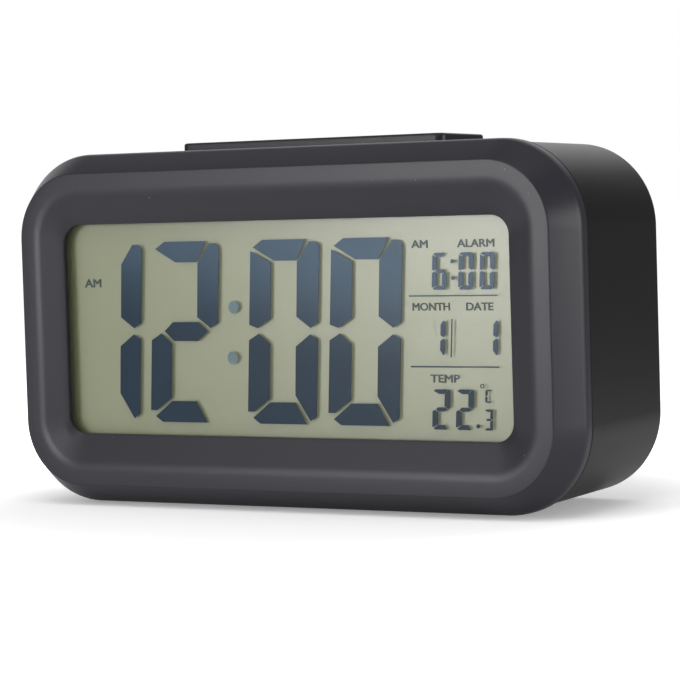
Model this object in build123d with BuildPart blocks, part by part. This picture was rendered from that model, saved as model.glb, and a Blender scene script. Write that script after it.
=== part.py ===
"""Desk alarm clock with a liquid crystal display and a snooze bar on top.

Millimetres. X runs to the right of the display, Y from the display to the back, Z up.
The origin is on the table, under the middle of the case. Depths are counted from the
bezel's crest, the foremost plane of the clock, towards the back.
"""
from build123d import *
import math
import os

os.makedirs("parts", exist_ok=True)

# Case
clock_width = 136.0
clock_height = 75.0
clock_depth = 45.0
foot_gap = 0.4
wall = 2.2

# Front bezel
ring_corner = 18.0
band_depth = 6.6
crest_inset = 4.1
seam_depth = 9.2
crest_round = 0.4
band_round = 3.0
rim_width = 4.2
rim_round = 7.0
window_border_x = 13.9
window_border_z = 15.05
window_corner = 4.0
window_depth = 2.05
seat_depth = 3.2
tongue_length = 2.5
tongue_wall = 1.1
tongue_gap = 0.3

# Rear housing
seam_step = 0.6
side_draft = 0.9
top_draft = 0.65
rear_corner = 17.2
rear_round = 1.8

# Display stack
film = 0.2
glass = 0.7
cell_gap = 0.1
guide_thickness = 2.0
board_thickness = 1.2
display_lap = 1.5
polarizer_lap = 1.0
contact_ledge = 4.0
seal_width = 1.0
seat_gap = 0.2
carrier_gap = 1.2
strip_inset = 5.6
strip_width = 1.8
led_width = 3.0
led_reach = 1.4
led_height = 1.8
led_z = 5.0

# Screws
boss_inset_x = 8.4
boss_inset_z = 13.5
boss_radius = 2.8
boss_end = 20.0
column_radius = 4.0
screw_radius = 1.3
screw_length = 16.0
screw_head_radius = 2.8
screw_head_height = 2.0
screw_seat = 28.5
screw_clearance = 0.3
thread_gap = 0.05
hole_reserve = 1.0
small_screw_radius = 1.0
small_head_radius = 1.9
small_head_height = 1.4
small_screw_length = 5.0
display_screw_z = 12.0
display_screw_bite = 2.0

# Board components
controller_radius = 7.0
controller_height = 2.2
controller_round = 1.6
controller_x = -10.0
controller_z = -5.0
crystal_radius = 1.0
crystal_length = 6.0
crystal_x = 8.0
crystal_z = -5.0
thermistor_radius = 1.2
thermistor_height = 1.2
thermistor_inset = 15.6
thermistor_z = -22.0
solder_gap = 0.05

# Rear buttons and slide switch
row_inset = 17.5
recess_inset = 18.0
recess_height = 13.0
recess_depth = 1.2
recess_corner = 6.0
pad_margin = 1.5
pad_thickness = 1.2
button_margin = 11.0
button_space = 4.0
button_width = 5.0
button_gap = 0.2
button_sink = 0.2
button_round = 0.6
button_travel = 0.5
flange_lip = 1.0
flange_thickness = 1.0
stem_radius = 1.5
stem_length = 1.2
switch_size = 6.0
switch_height = 3.5
plunger_radius = 1.7
plunger_gap = 0.2
plunger_rise = 0.7
plunger_engage = 1.7
plunger_reserve = 0.3
board_boss_inset = 6.5
board_boss_radius = 2.5
board_boss_margin = 3.5
row_board_height = 7.0
knob_margin = 13.0
knob_space = 6.0
knob_length = 4.4
knob_width = 3.0
knob_travel = 4.0
knob_stem_length = 2.4
knob_stem_width = 2.0
knob_tip = 0.7
slide_body_length = 12.0
slide_body_width = 5.0

# Snooze bar
bar_length = 64.4
bar_width = 19.0
bar_rise = 2.6
bar_corner = 2.0
bar_round = 0.5
bar_depth = 25.4
bar_gap = 0.25
bar_lip = 1.6
bar_flange = 1.2
bar_seat_gap = 0.05
bar_stem_radius = 3.0
bar_stem_length = 2.0
bar_travel = 0.8
bar_plunger_rise = 1.2
bar_post_margin = 4.2
bar_post_radius = 2.5
bar_board_width = 12.0

# Battery bay and door
cell_radius = 5.2
cell_length = 44.5
cell_nub_radius = 1.9
cell_nub_length = 0.8
cell_pitch = 11.3
cell_gap_side = 0.5
spring_length = 5.0
spring_base_radius = 3.6
spring_tip_radius = 2.6
plate_thickness = 0.4
plate_height = 9.0
tag_width = 2.0
tag_reach = 2.5
tag_gap = 0.15
bay_inset = 6.65
bay_wall = 1.5
bay_spare = 0.5
door_lap = 2.6
door_thickness = 1.8
door_gap = 0.25
door_corner = 1.5
frame_margin = 1.0
frame_depth = 2.5
tab_x = 16.0
tab_width = 8.0
tab_thickness = 1.2
tab_length = 2.0
tab_play = 0.3
tab_neck = 1.6
tab_swing = 1.3
latch_width = 9.0
latch_length = 3.7
latch_thickness = 1.2
latch_inset = 1.2
latch_slit = 0.8
latch_slit_length = 8.0
grip_pitch = 1.6
grip_width = 0.6
grip_depth = 0.4
grip_count = 3

# Buzzer
buzzer_lift = 12.0
buzzer_radius = 9.0
buzzer_height = 4.5
buzzer_gap = 0.3
buzzer_ring = 1.2
sound_hole_radius = 0.8
sound_circle_radius = 5.0

# Feet
foot_radius = 4.0
foot_height = 1.9
foot_round = 0.4
foot_gap_side = 0.2
foot_inset = 29.0
foot_margin_front = 5.6
foot_margin_rear = 6.0

# Wires and ribbon
wire_radius = 0.6
ribbon_width = 10.0
ribbon_thickness = 0.8
ribbon_x = 20.0
ribbon_margin = 2.5
ribbon_run = 6.0
ribbon_end_run = 8.0
ribbon_drop = 7.0
lead_run = 6.0
lead_bow = 10.0
lead_dip = 7.0
lead_lean = 2.0
lead_sag = 1.0
buzzer_lead_run = 8.0
buzzer_lead_shift = 3.0
snooze_lead_drop = 7.0
snooze_lead_run = 6.0

# Digits, in the display's plane, drawn for the margins that they leave in the window
art_margin_x = 1.35
art_margin_z = 2.15
slant = 0.054
digit_half_width = 8.4
digit_half_height = 19.1
digit_z = -0.7
digit_first_x = -44.35
digit_pitch = 19.65
colon_pitch = 24.65
colon_upper_z = 4.5
colon_lower_z = -6.1
colon_radius = 1.3
alarm_half_width = 1.65
alarm_half_height = 3.7
alarm_z = 11.4
alarm_hour_x = 37.25
alarm_minute_x = 43.25
alarm_pitch = 4.8
alarm_colon_x = 40.25
alarm_colon_rise = 1.65
alarm_colon_lift = 0.3
alarm_dot_radius = 0.42
date_half_height = 3.55
date_z = -1.95
month_x = 36.45
day_x = 48.4
temp_half_width = 1.98
temp_half_height = 4.05
temp_z = -16.25
temp_x = 36.8
temp_pitch = 5.4
point_x = 45.1
point_z = -19.5
tenth_half_width = 0.94
tenth_half_height = 2.1
tenth_x = 47.5
tenth_z = -18.2
unit_half_width = 0.76
unit_half_height = 1.3
unit_x = 47.65
unit_z = -13.5
degree_x = 46.25
degree_z = -11.5
degree_radius = 0.45
degree_line = 0.16
rule_left = 30.1
rule_right = 50.15
rule_upper_z = 6.5
rule_lower_z = -7.7
rule_line = 0.26
divider_x = 39.6
divider_half_height = 3.85

# Places worked out from the sizes above
mid_z = foot_gap + clock_height / 2
window_width = clock_width - 2 * window_border_x
window_height = clock_height - 2 * window_border_z
art_x = (window_width / 2 - art_margin_x) / (digit_half_width - digit_first_x)
art_z = (window_height / 2 - art_margin_z) / (temp_half_height - temp_z)
art_round = min(art_x, art_z)
stack_polarizer = seat_depth + film
stack_front_glass = stack_polarizer + glass
stack_cell = stack_front_glass + cell_gap
stack_rear_glass = stack_cell + glass
stack_reflector = stack_rear_glass + film
stack_guide = stack_reflector + guide_thickness
stack_sheet = stack_guide + film
stack_board = stack_sheet + board_thickness
crest_width = clock_width - 2 * crest_inset
crest_height = clock_height - 2 * crest_inset
crest_corner = ring_corner - crest_inset
rim_inner_width = crest_width - 2 * rim_width
rim_inner_height = crest_height - 2 * rim_width
rim_inner_corner = crest_corner - rim_width
shell_width = clock_width - 2 * seam_step
shell_height = clock_height - 2 * seam_step
shell_corner = ring_corner - seam_step
tongue_inset = seam_step + wall + tongue_gap
pocket_inset = tongue_inset + tongue_wall
pocket_width = clock_width - 2 * pocket_inset
pocket_height = clock_height - 2 * pocket_inset
pocket_corner = ring_corner - pocket_inset
carrier_width = pocket_width - 2 * carrier_gap
carrier_height = pocket_height - 2 * carrier_gap
carrier_corner = pocket_corner - carrier_gap
panel_width = window_width + 2 * display_lap
panel_height = window_height + 2 * display_lap
thermistor_x = thermistor_inset - panel_width / 2
front_glass_height = panel_height + 2 * contact_ledge
strip_length = panel_width - 2 * strip_inset
strip_z = (panel_height + contact_ledge) / 2
boss_x = clock_width / 2 - boss_inset_x
boss_z = clock_height / 2 - boss_inset_z
boss_points = [(sx * boss_x, sz * boss_z) for sx in (-1, 1) for sz in (-1, 1)]
display_screw_points = [(sx * boss_x, sz * display_screw_z) for sx in (-1, 1) for sz in (-1, 1)]
inner_rear = clock_depth - wall
recess_floor = clock_depth - recess_depth
pad_face = inner_rear - pad_thickness
button_top = clock_depth - button_sink
flange_face = pad_face - flange_thickness
plunger_top = flange_face - stem_length
switch_top = plunger_top - plunger_rise
row_board_back = switch_top - switch_height
row_board_front = row_board_back - board_thickness
row_z = clock_height / 2 - row_inset
recess_width = clock_width - 2 * recess_inset
board_boss_x = recess_width / 2 - board_boss_inset
row_board_width = 2 * (board_boss_x + board_boss_margin)
knob_slot = knob_length + knob_travel + 2 * button_gap
knob_x = knob_margin + knob_slot / 2 - recess_width / 2
button_names = ("mode", "set", "up", "down")
button_count = len(button_names)
button_room = recess_width - button_margin - knob_margin - knob_slot - knob_space
button_length = (button_room - (button_count - 1) * button_space) / button_count
button_pitch = button_length + button_space
button_first_x = recess_width / 2 - button_margin - button_length / 2
button_places = {name: button_first_x - i * button_pitch for i, name in enumerate(button_names)}
bay_length = cell_length + spring_length + 2 * plate_thickness
row_bottom = row_z - recess_height / 2 - pad_margin
opening_bottom = bay_inset - clock_height / 2
bay_end = cell_radius + cell_gap_side + door_lap + door_gap
bay_room = row_bottom - frame_margin - bay_spare - opening_bottom
cell_count = 1 + int((bay_room - 2 * bay_end) / cell_pitch)
bay_height = (cell_count - 1) * cell_pitch + 2 * (cell_radius + cell_gap_side)
cell_depth = clock_depth - door_thickness - cell_gap_side - cell_radius
bay_floor = cell_depth - cell_radius - cell_gap_side
door_width = bay_length + 2 * door_lap
door_height = bay_height + 2 * door_lap
door_face = clock_depth - door_thickness
opening_width = door_width + 2 * door_gap
opening_height = door_height + 2 * door_gap
bay_z = opening_bottom + opening_height / 2
door_top = bay_z + door_height / 2
frame_face = inner_rear - frame_depth
tab_back = inner_rear - tab_play
tab_front = tab_back - tab_thickness
cell_rows = [bay_z + ((cell_count - 1) / 2 - i) * cell_pitch for i in range(cell_count)]
cell_signs = [1 - 2 * (i % 2) for i in range(cell_count)]
end_contacts = ((cell_signs[0], cell_rows[0]), (-cell_signs[-1], cell_rows[-1]))
plate_x = bay_length / 2 - plate_thickness
buzzer_x = (opening_width / 2 + frame_margin + shell_width / 2 - side_draft - wall) / 2
buzzer_z = buzzer_lift - boss_z
top_slope = math.atan(top_draft / (clock_depth - seam_depth))
bar_post_span = bar_length + 2 * (bar_lip + bar_post_margin)
bar_plunger_top = -(wall + bar_flange + bar_stem_length)
bar_switch_top = bar_plunger_top - bar_plunger_rise
bar_board_face = bar_switch_top - switch_height
foot_x = clock_width / 2 - foot_inset
foot_front = seam_depth + foot_margin_front
foot_back = clock_depth - foot_margin_rear
foot_middle_y = (foot_front + foot_back - clock_depth) / 2
foot_span = foot_back - foot_front


def section(depth):
    """Plane across the clock at a depth behind the crest, facing the front, centred on the ring."""
    return Plane(origin=(0, depth - clock_depth / 2, mid_z), x_dir=(1, 0, 0), z_dir=(0, -1, 0))


def place(x, depth, z):
    """Point at a width, a depth behind the crest and a height above the ring's centre."""
    return (x, depth - clock_depth / 2, mid_z + z)


def shell_outline(depth):
    """Width, height and corner radius of the drafted rear housing at a depth."""
    share = (depth - seam_depth) / (clock_depth - seam_depth)
    width = shell_width - 2 * side_draft * share
    height = shell_height - 2 * top_draft * share
    return width, height, shell_corner + (rear_corner - shell_corner) * share


def top_plane(rise):
    """Plane along the housing's sloping top at the snooze bar's centre, raised along its normal."""
    height = shell_outline(bar_depth)[1] / 2
    normal = (0, math.sin(top_slope), math.cos(top_slope))
    return Plane(origin=place(0, bar_depth, height), x_dir=(1, 0, 0), z_dir=normal).offset(rise)


def on_top(x, y, rise):
    """Point in the snooze bar's own axes: along the bar, across it, above the housing's top."""
    return tuple(top_plane(rise).from_local_coords((x, y, 0)))


def bend_radii(points):
    """Radius of each bend of a wire's route, as large as its two runs allow."""
    radii = []
    for before, corner, after in zip(points, points[1:], points[2:]):
        first = Vector(*corner) - Vector(*before)
        second = Vector(*after) - Vector(*corner)
        half_turn = math.radians(first.get_angle(second)) / 2
        radii.append(0.45 * min(first.length, second.length) / math.tan(half_turn))
    return radii


# The seven strokes of a digit as corners in half widths and half heights of the digit.
# Corners with a third value are rounded by that share of the half width.
strokes = {
    "a": [(-0.93, 0.92), (-0.66, 1.0, 0.10), (0.60, 1.0), (0.34, 0.77), (-0.30, 0.77)],
    "b": [(0.70, 0.975), (1.0, 0.97, 0.16), (1.0, 0.10), (0.79, 0.042), (0.375, 0.165), (0.365, 0.755)],
    "c": [(0.78, -0.026), (1.0, -0.075), (1.0, -0.92, 0.12), (0.83, -0.965), (0.38, -0.685), (0.37, -0.158)],
    "d": [(-0.845, -0.937), (-0.63, -1.0, 0.10), (0.73, -1.0), (0.38, -0.765), (-0.355, -0.765)],
    "e": [(-0.71, -0.016), (-0.38, -0.13), (-0.37, -0.728), (-0.815, -0.87), (-1.0, -0.87), (-1.0, -0.09)],
    "f": [(-1.0, 0.88), (-0.395, 0.75), (-0.38, 0.142), (-0.75, 0.042), (-1.0, 0.078)],
    "g": [(-0.61, 0.01), (-0.36, 0.11), (0.41, 0.11), (0.71, 0.005), (0.405, -0.10), (-0.315, -0.10)],
}
digit_strokes = {
    "0": "abcdef",
    "1": "bc",
    "2": "abdeg",
    "3": "abcdg",
    "6": "acdefg",
    "C": "adef",
}


def drawn(x, z):
    """Point of the artwork, scaled with the window."""
    return (art_x * x, art_z * z)


def slanted(x, z):
    """Point of the artwork leaned over about the display's middle by the digits' slant."""
    return drawn(x + slant * z, z)


def draw_digit(figure, x, z, half_width, half_height):
    """Adds the strokes of one digit, leaned over about its centre at x and z, to the sketch in hand."""
    for name in digit_strokes[figure]:
        corners = strokes[name]
        spots = [drawn(x + half_width * c[0] + slant * half_height * c[1], z + half_height * c[1]) for c in corners]
        radii = [art_round * half_width * c[2] if len(c) == 3 else 0 for c in corners]
        with BuildLine() as outline:
            FilletPolyline(*spots, radius=radii, close=True)
        make_face(outline.edges())


# Front bezel: a sloped band, a flat rim, a sloped frame round the window, a tongue and four bosses
with BuildPart() as front_bezel:
    with BuildSketch(section(band_depth)):
        RectangleRounded(clock_width, clock_height, ring_corner)
    extrude(amount=band_depth, taper=math.degrees(math.atan(crest_inset / band_depth)))
    fillet(front_bezel.faces().sort_by(Axis.Y)[0].edges(), crest_round)
    with BuildSketch(section(seam_depth)):
        RectangleRounded(clock_width, clock_height, ring_corner)
    extrude(amount=seam_depth - band_depth)
    band_y = band_depth - clock_depth / 2
    fillet(front_bezel.edges().filter_by_position(Axis.Y, band_y - 0.01, band_y + 0.01), band_round)
    with BuildSketch(section(seam_depth + tongue_length)):
        RectangleRounded(
            clock_width - 2 * tongue_inset, clock_height - 2 * tongue_inset, ring_corner - tongue_inset
        )
    extrude(amount=tongue_length)
    with BuildSketch(section(seam_depth + tongue_length)):
        RectangleRounded(pocket_width, pocket_height, pocket_corner)
    extrude(amount=seam_depth + tongue_length - seat_depth, mode=Mode.SUBTRACT)
    with BuildSketch(section(window_depth)):
        RectangleRounded(window_width, window_height, window_corner)
    with BuildSketch(section(0)):
        RectangleRounded(rim_inner_width, rim_inner_height, rim_inner_corner)
    loft(ruled=True, mode=Mode.SUBTRACT)
    with BuildSketch(section(seat_depth)):
        RectangleRounded(window_width, window_height, window_corner)
    extrude(amount=seat_depth, mode=Mode.SUBTRACT)
    fillet(front_bezel.faces().sort_by(Axis.Y)[0].inner_wires()[0].edges(), rim_round)
    with BuildSketch(section(boss_end)):
        with Locations(*boss_points):
            Circle(boss_radius)
    extrude(amount=boss_end - seat_depth)
    with BuildSketch(section(boss_end)):
        with Locations(*boss_points):
            Circle(screw_radius + thread_gap)
    extrude(amount=boss_end - screw_seat + screw_length + hole_reserve, mode=Mode.SUBTRACT)
    with BuildSketch(section(seat_depth)):
        with Locations(*display_screw_points):
            Circle(small_screw_radius + thread_gap)
    extrude(amount=display_screw_bite + seat_gap, mode=Mode.SUBTRACT)
front_bezel.part.label = "front_bezel"
export_step(front_bezel.part, "parts/front_bezel.step")

# Rear housing: a drafted shell with the battery bay, button recess, bar opening and screw columns
with BuildPart() as rear_housing:
    with BuildSketch(section(seam_depth)):
        RectangleRounded(*shell_outline(seam_depth))
    with BuildSketch(section(clock_depth)):
        RectangleRounded(*shell_outline(clock_depth))
    loft(ruled=True)
    fillet(rear_housing.faces().sort_by(Axis.Y)[-1].edges(), rear_round)
    for depth in (seam_depth, inner_rear):
        outer_width, outer_height, outer_corner = shell_outline(depth)
        with BuildSketch(section(depth)):
            RectangleRounded(outer_width - 2 * wall, outer_height - 2 * wall, outer_corner - wall)
    loft(ruled=True, mode=Mode.SUBTRACT)
    # Screw columns run from the rear wall to the bezel's bosses
    with BuildSketch(section(inner_rear)):
        with Locations(*boss_points):
            Circle(column_radius)
    extrude(amount=inner_rear - boss_end)
    # Battery bay: a tub with a thicker frame under the door's edges
    with BuildSketch(section(inner_rear)):
        with Locations((0, bay_z)):
            Rectangle(bay_length + 2 * bay_wall, bay_height + 2 * bay_wall)
    extrude(amount=inner_rear - bay_floor + bay_wall)
    with BuildSketch(section(inner_rear)):
        with Locations((0, bay_z)):
            Rectangle(opening_width + 2 * frame_margin, opening_height + 2 * frame_margin)
    extrude(amount=frame_depth)
    # Pad behind the button recess, board bosses and the ring that holds the buzzer
    with BuildSketch(section(inner_rear)):
        with Locations((0, row_z)):
            RectangleRounded(
                recess_width + 2 * pad_margin, recess_height + 2 * pad_margin, recess_corner + pad_margin
            )
    extrude(amount=pad_thickness)
    with BuildSketch(section(pad_face)):
        with Locations((-board_boss_x, row_z), (board_boss_x, row_z)):
            Circle(board_boss_radius)
    extrude(amount=pad_face - row_board_back)
    with BuildSketch(section(inner_rear)):
        with Locations((buzzer_x, buzzer_z)):
            Circle(buzzer_radius + buzzer_gap + buzzer_ring)
            Circle(buzzer_radius + buzzer_gap, mode=Mode.SUBTRACT)
    extrude(amount=buzzer_height)
    # Posts that carry the snooze switch's board
    with BuildSketch(top_plane(bar_board_face)):
        with GridLocations(bar_post_span, 0, 2, 1):
            Circle(bar_post_radius)
    extrude(amount=-bar_board_face - wall / 2)
    # Door opening, bay and the notches for the door's tabs and latch
    with BuildSketch(section(clock_depth)):
        with Locations((0, bay_z)):
            RectangleRounded(opening_width, opening_height, door_corner + door_gap)
    extrude(amount=door_thickness, mode=Mode.SUBTRACT)
    with BuildSketch(section(clock_depth)):
        with Locations((0, bay_z)):
            Rectangle(bay_length, bay_height)
    extrude(amount=clock_depth - bay_floor, mode=Mode.SUBTRACT)
    with BuildSketch(section(inner_rear)):
        with Locations((-tab_x, opening_bottom), (tab_x, opening_bottom)):
            Rectangle(tab_width + 2 * tab_play, 2 * (door_lap + door_gap + tab_play))
    extrude(amount=inner_rear - tab_front + tab_swing, mode=Mode.SUBTRACT)
    with BuildSketch(section(door_face)):
        with Locations((-tab_x, opening_bottom), (tab_x, opening_bottom)):
            Rectangle(
                tab_width + 2 * tab_play, door_lap + door_gap + tab_play, align=(Align.CENTER, Align.MIN)
            )
    extrude(amount=door_face - inner_rear, mode=Mode.SUBTRACT)
    with BuildSketch(section(door_face)):
        with Locations((0, door_top + door_gap)):
            Rectangle(
                latch_width + 2 * tab_play, door_lap + door_gap + tab_play, align=(Align.CENTER, Align.MAX)
            )
    extrude(amount=latch_length + tab_play, mode=Mode.SUBTRACT)
    # Slots for the solder tags of the two end contacts
    for sign, row in end_contacts:
        with BuildSketch(section(cell_depth + tag_width / 2 + tag_gap)):
            with Locations((sign * (bay_length + bay_wall) / 2, row)):
                Rectangle(2 * bay_wall, plate_thickness + 2 * tag_gap)
        extrude(amount=tag_width + 2 * tag_gap, mode=Mode.SUBTRACT)
    # Button recess with the button holes and the slide switch's slot
    with BuildSketch(section(clock_depth)):
        with Locations((0, row_z)):
            RectangleRounded(recess_width, recess_height, recess_corner)
    extrude(amount=recess_depth, mode=Mode.SUBTRACT)
    with BuildSketch(section(recess_floor)):
        with Locations(*[(x, row_z) for x in button_places.values()]):
            SlotOverall(button_length + 2 * button_gap, button_width + 2 * button_gap)
        with Locations((knob_x, row_z)):
            Rectangle(knob_slot, knob_width + 2 * button_gap)
    extrude(amount=recess_floor - pad_face, mode=Mode.SUBTRACT)
    with BuildSketch(section(row_board_back)):
        with Locations((-board_boss_x, row_z), (board_boss_x, row_z)):
            Circle(small_screw_radius + thread_gap)
    extrude(amount=-(small_screw_length - board_thickness + seat_gap), mode=Mode.SUBTRACT)
    # Sound holes over the buzzer
    with BuildSketch(section(clock_depth)):
        with Locations((buzzer_x, buzzer_z)):
            Circle(sound_hole_radius)
            with PolarLocations(sound_circle_radius, 6):
                Circle(sound_hole_radius)
    extrude(amount=wall, mode=Mode.SUBTRACT)
    # Screw holes, each with a deep counterbore from the rear face
    with BuildSketch(section(clock_depth)):
        with Locations(*boss_points):
            Circle(screw_head_radius + screw_clearance)
    extrude(amount=clock_depth - screw_seat, mode=Mode.SUBTRACT)
    with BuildSketch(section(screw_seat)):
        with Locations(*boss_points):
            Circle(screw_radius + screw_clearance)
    extrude(amount=screw_seat - boss_end, mode=Mode.SUBTRACT)
    # Snooze bar's opening and the holes in its board posts
    with BuildSketch(top_plane(bar_rise)):
        RectangleRounded(bar_length + 2 * bar_gap, bar_width + 2 * bar_gap, bar_corner + bar_gap)
    extrude(amount=-(bar_rise + wall + bar_gap), mode=Mode.SUBTRACT)
    with BuildSketch(top_plane(bar_board_face)):
        with GridLocations(bar_post_span, 0, 2, 1):
            Circle(small_screw_radius + thread_gap)
    extrude(amount=small_screw_length - board_thickness + seat_gap, mode=Mode.SUBTRACT)
    # Flat seats for the feet
    with BuildSketch(Plane.XY):
        with Locations((0, foot_middle_y)):
            with GridLocations(2 * foot_x, foot_span, 2, 2):
                Circle(foot_radius + foot_gap_side)
    extrude(amount=foot_height, mode=Mode.SUBTRACT)
rear_housing.part.label = "rear_housing"
export_step(rear_housing.part, "parts/rear_housing.step")

# Rubber feet
with BuildPart() as rubber_feet:
    with BuildSketch(Plane.XY):
        with Locations((0, foot_middle_y)):
            with GridLocations(2 * foot_x, foot_span, 2, 2):
                Circle(foot_radius)
    extrude(amount=foot_height)
    fillet(rubber_feet.edges().filter_by_position(Axis.Z, -0.01, 0.01), foot_round)
rubber_feet.part.label = "rubber_feet"
export_step(rubber_feet.part, "parts/rubber_feet.step")

# Battery door with two tabs at its lower edge and a latch tongue at its upper edge
with BuildPart() as battery_door:
    with BuildSketch(section(clock_depth)):
        with Locations((0, bay_z)):
            RectangleRounded(door_width, door_height, door_corner)
    extrude(amount=door_thickness)
    with BuildSketch(section(door_face)):
        with Locations((-tab_x, opening_bottom + door_gap), (tab_x, opening_bottom + door_gap)):
            Rectangle(tab_width, tab_neck, align=(Align.CENTER, Align.MIN))
    extrude(amount=door_face - tab_front)
    with BuildSketch(section(tab_back)):
        with Locations((-tab_x, opening_bottom + door_gap), (tab_x, opening_bottom + door_gap)):
            Rectangle(tab_width, tab_length + door_gap, align=(Align.CENTER, Align.MAX))
    extrude(amount=tab_thickness)
    with BuildSketch(section(door_face)):
        with Locations((0, door_top - latch_inset)):
            Rectangle(latch_width, latch_thickness, align=(Align.CENTER, Align.MAX))
    extrude(amount=latch_length)
    with BuildSketch(section(clock_depth)):
        with Locations((0, door_top)):
            with GridLocations(latch_width + latch_slit, 0, 2, 1):
                Rectangle(latch_slit, latch_slit_length, align=(Align.CENTER, Align.MAX))
    extrude(amount=door_thickness, mode=Mode.SUBTRACT)
    with BuildSketch(section(clock_depth)):
        with Locations((0, door_top - latch_slit_length / 2)):
            with GridLocations(0, grip_pitch, 1, grip_count):
                Rectangle(latch_width - 2 * latch_slit, grip_width)
    extrude(amount=grip_depth, mode=Mode.SUBTRACT)
battery_door.part.label = "battery_door"
export_step(battery_door.part, "parts/battery_door.step")

# Snooze bar: a cap through the housing's top, a flange under the wall and a stem for its switch
with BuildPart() as snooze_bar:
    with BuildSketch(top_plane(bar_rise)):
        RectangleRounded(bar_length, bar_width, bar_corner)
    extrude(amount=-(bar_rise + wall + bar_seat_gap))
    fillet(snooze_bar.faces().sort_by(Axis.Z)[-1].edges(), bar_round)
    with BuildSketch(top_plane(-wall - bar_seat_gap)):
        RectangleRounded(bar_length + 2 * bar_lip, bar_width + 2 * bar_lip, bar_corner + bar_lip)
    extrude(amount=-(bar_flange - bar_seat_gap))
    with BuildSketch(top_plane(-wall - bar_flange)):
        Circle(bar_stem_radius)
    extrude(amount=-bar_stem_length)
snooze_bar.part.label = "snooze_bar"
export_step(snooze_bar.part, "parts/snooze_bar.step")

# Snooze switch: plunger, body, board
with BuildPart() as snooze_plunger:
    with BuildSketch(top_plane(bar_plunger_top)):
        Circle(plunger_radius)
    extrude(amount=-(bar_plunger_rise + plunger_engage))
snooze_plunger.part.label = "snooze_plunger"
export_step(snooze_plunger.part, "parts/snooze_plunger.step")

with BuildPart() as snooze_switch_body:
    with BuildSketch(top_plane(bar_board_face)):
        Rectangle(switch_size, switch_size)
    extrude(amount=switch_height)
    with BuildSketch(top_plane(bar_switch_top)):
        Circle(plunger_radius + plunger_gap)
    extrude(amount=-(plunger_engage + bar_travel + plunger_reserve), mode=Mode.SUBTRACT)
snooze_switch_body.part.label = "snooze_switch_body"
export_step(snooze_switch_body.part, "parts/snooze_switch_body.step")

bar_board_length = bar_post_span + 2 * bar_post_radius
with BuildPart() as snooze_board:
    with BuildSketch(top_plane(bar_board_face)):
        Rectangle(bar_board_length, bar_board_width)
        with GridLocations(bar_post_span, 0, 2, 1):
            Circle(small_screw_radius + seat_gap, mode=Mode.SUBTRACT)
    extrude(amount=-board_thickness)
snooze_board.part.label = "snooze_board"
export_step(snooze_board.part, "parts/snooze_board.step")

# Rear buttons and the plungers of their switches
for name, x in button_places.items():
    with BuildPart() as button:
        with BuildSketch(section(button_top)):
            with Locations((x, row_z)):
                SlotOverall(button_length, button_width)
        extrude(amount=button_top - pad_face)
        fillet(button.faces().sort_by(Axis.Y)[-1].edges(), button_round)
        with BuildSketch(section(pad_face)):
            with Locations((x, row_z)):
                SlotOverall(button_length + 2 * flange_lip, button_width + 2 * flange_lip)
        extrude(amount=flange_thickness)
        with BuildSketch(section(flange_face)):
            with Locations((x, row_z)):
                Circle(stem_radius)
        extrude(amount=stem_length)
    button.part.label = f"{name}_button"
    export_step(button.part, f"parts/{name}_button.step")

    with BuildPart() as plunger:
        with BuildSketch(section(plunger_top)):
            with Locations((x, row_z)):
                Circle(plunger_radius)
        extrude(amount=plunger_rise + plunger_engage)
    plunger.part.label = f"{name}_plunger"
    export_step(plunger.part, f"parts/{name}_plunger.step")

with BuildPart() as switch_bodies:
    with BuildSketch(section(switch_top)):
        with Locations(*[(x, row_z) for x in button_places.values()]):
            Rectangle(switch_size, switch_size)
    extrude(amount=switch_height)
    with BuildSketch(section(switch_top)):
        with Locations(*[(x, row_z) for x in button_places.values()]):
            Circle(plunger_radius + plunger_gap)
    extrude(amount=plunger_engage + button_travel + plunger_reserve, mode=Mode.SUBTRACT)
switch_bodies.part.label = "switch_bodies"
export_step(switch_bodies.part, "parts/switch_bodies.step")

# Slide switch: the knob rests at one end of its slot
knob_rest_x = knob_x - knob_travel / 2
with BuildPart() as light_switch_knob:
    with BuildSketch(section(button_top)):
        with Locations((knob_rest_x, row_z)):
            Rectangle(knob_length, knob_width)
    extrude(amount=button_top - pad_face)
    fillet(light_switch_knob.faces().sort_by(Axis.Y)[-1].edges(), button_round)
    with BuildSketch(section(pad_face)):
        with Locations((knob_rest_x, row_z)):
            Rectangle(knob_length + knob_travel + 2 * flange_lip, knob_width + 2 * flange_lip)
    extrude(amount=flange_thickness)
    with BuildSketch(section(flange_face)):
        with Locations((knob_rest_x, row_z)):
            Rectangle(knob_stem_length, knob_stem_width)
    extrude(amount=flange_face - switch_top + knob_tip)
light_switch_knob.part.label = "light_switch_knob"
export_step(light_switch_knob.part, "parts/light_switch_knob.step")

with BuildPart() as slide_switch_body:
    with BuildSketch(section(switch_top)):
        with Locations((knob_x, row_z)):
            Rectangle(slide_body_length, slide_body_width)
    extrude(amount=switch_height)
    with BuildSketch(section(switch_top)):
        with Locations((knob_x, row_z)):
            Rectangle(knob_stem_length + knob_travel + 2 * button_gap, knob_stem_width + 2 * button_gap)
    extrude(amount=knob_tip + plunger_reserve, mode=Mode.SUBTRACT)
slide_switch_body.part.label = "slide_switch_body"
export_step(slide_switch_body.part, "parts/slide_switch_body.step")

with BuildPart() as button_board:
    with BuildSketch(section(row_board_back)):
        with Locations((0, row_z)):
            Rectangle(row_board_width, row_board_height)
        with Locations((-board_boss_x, row_z), (board_boss_x, row_z)):
            Circle(small_screw_radius + seat_gap, mode=Mode.SUBTRACT)
    extrude(amount=board_thickness)
button_board.part.label = "button_board"
export_step(button_board.part, "parts/button_board.step")

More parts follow.
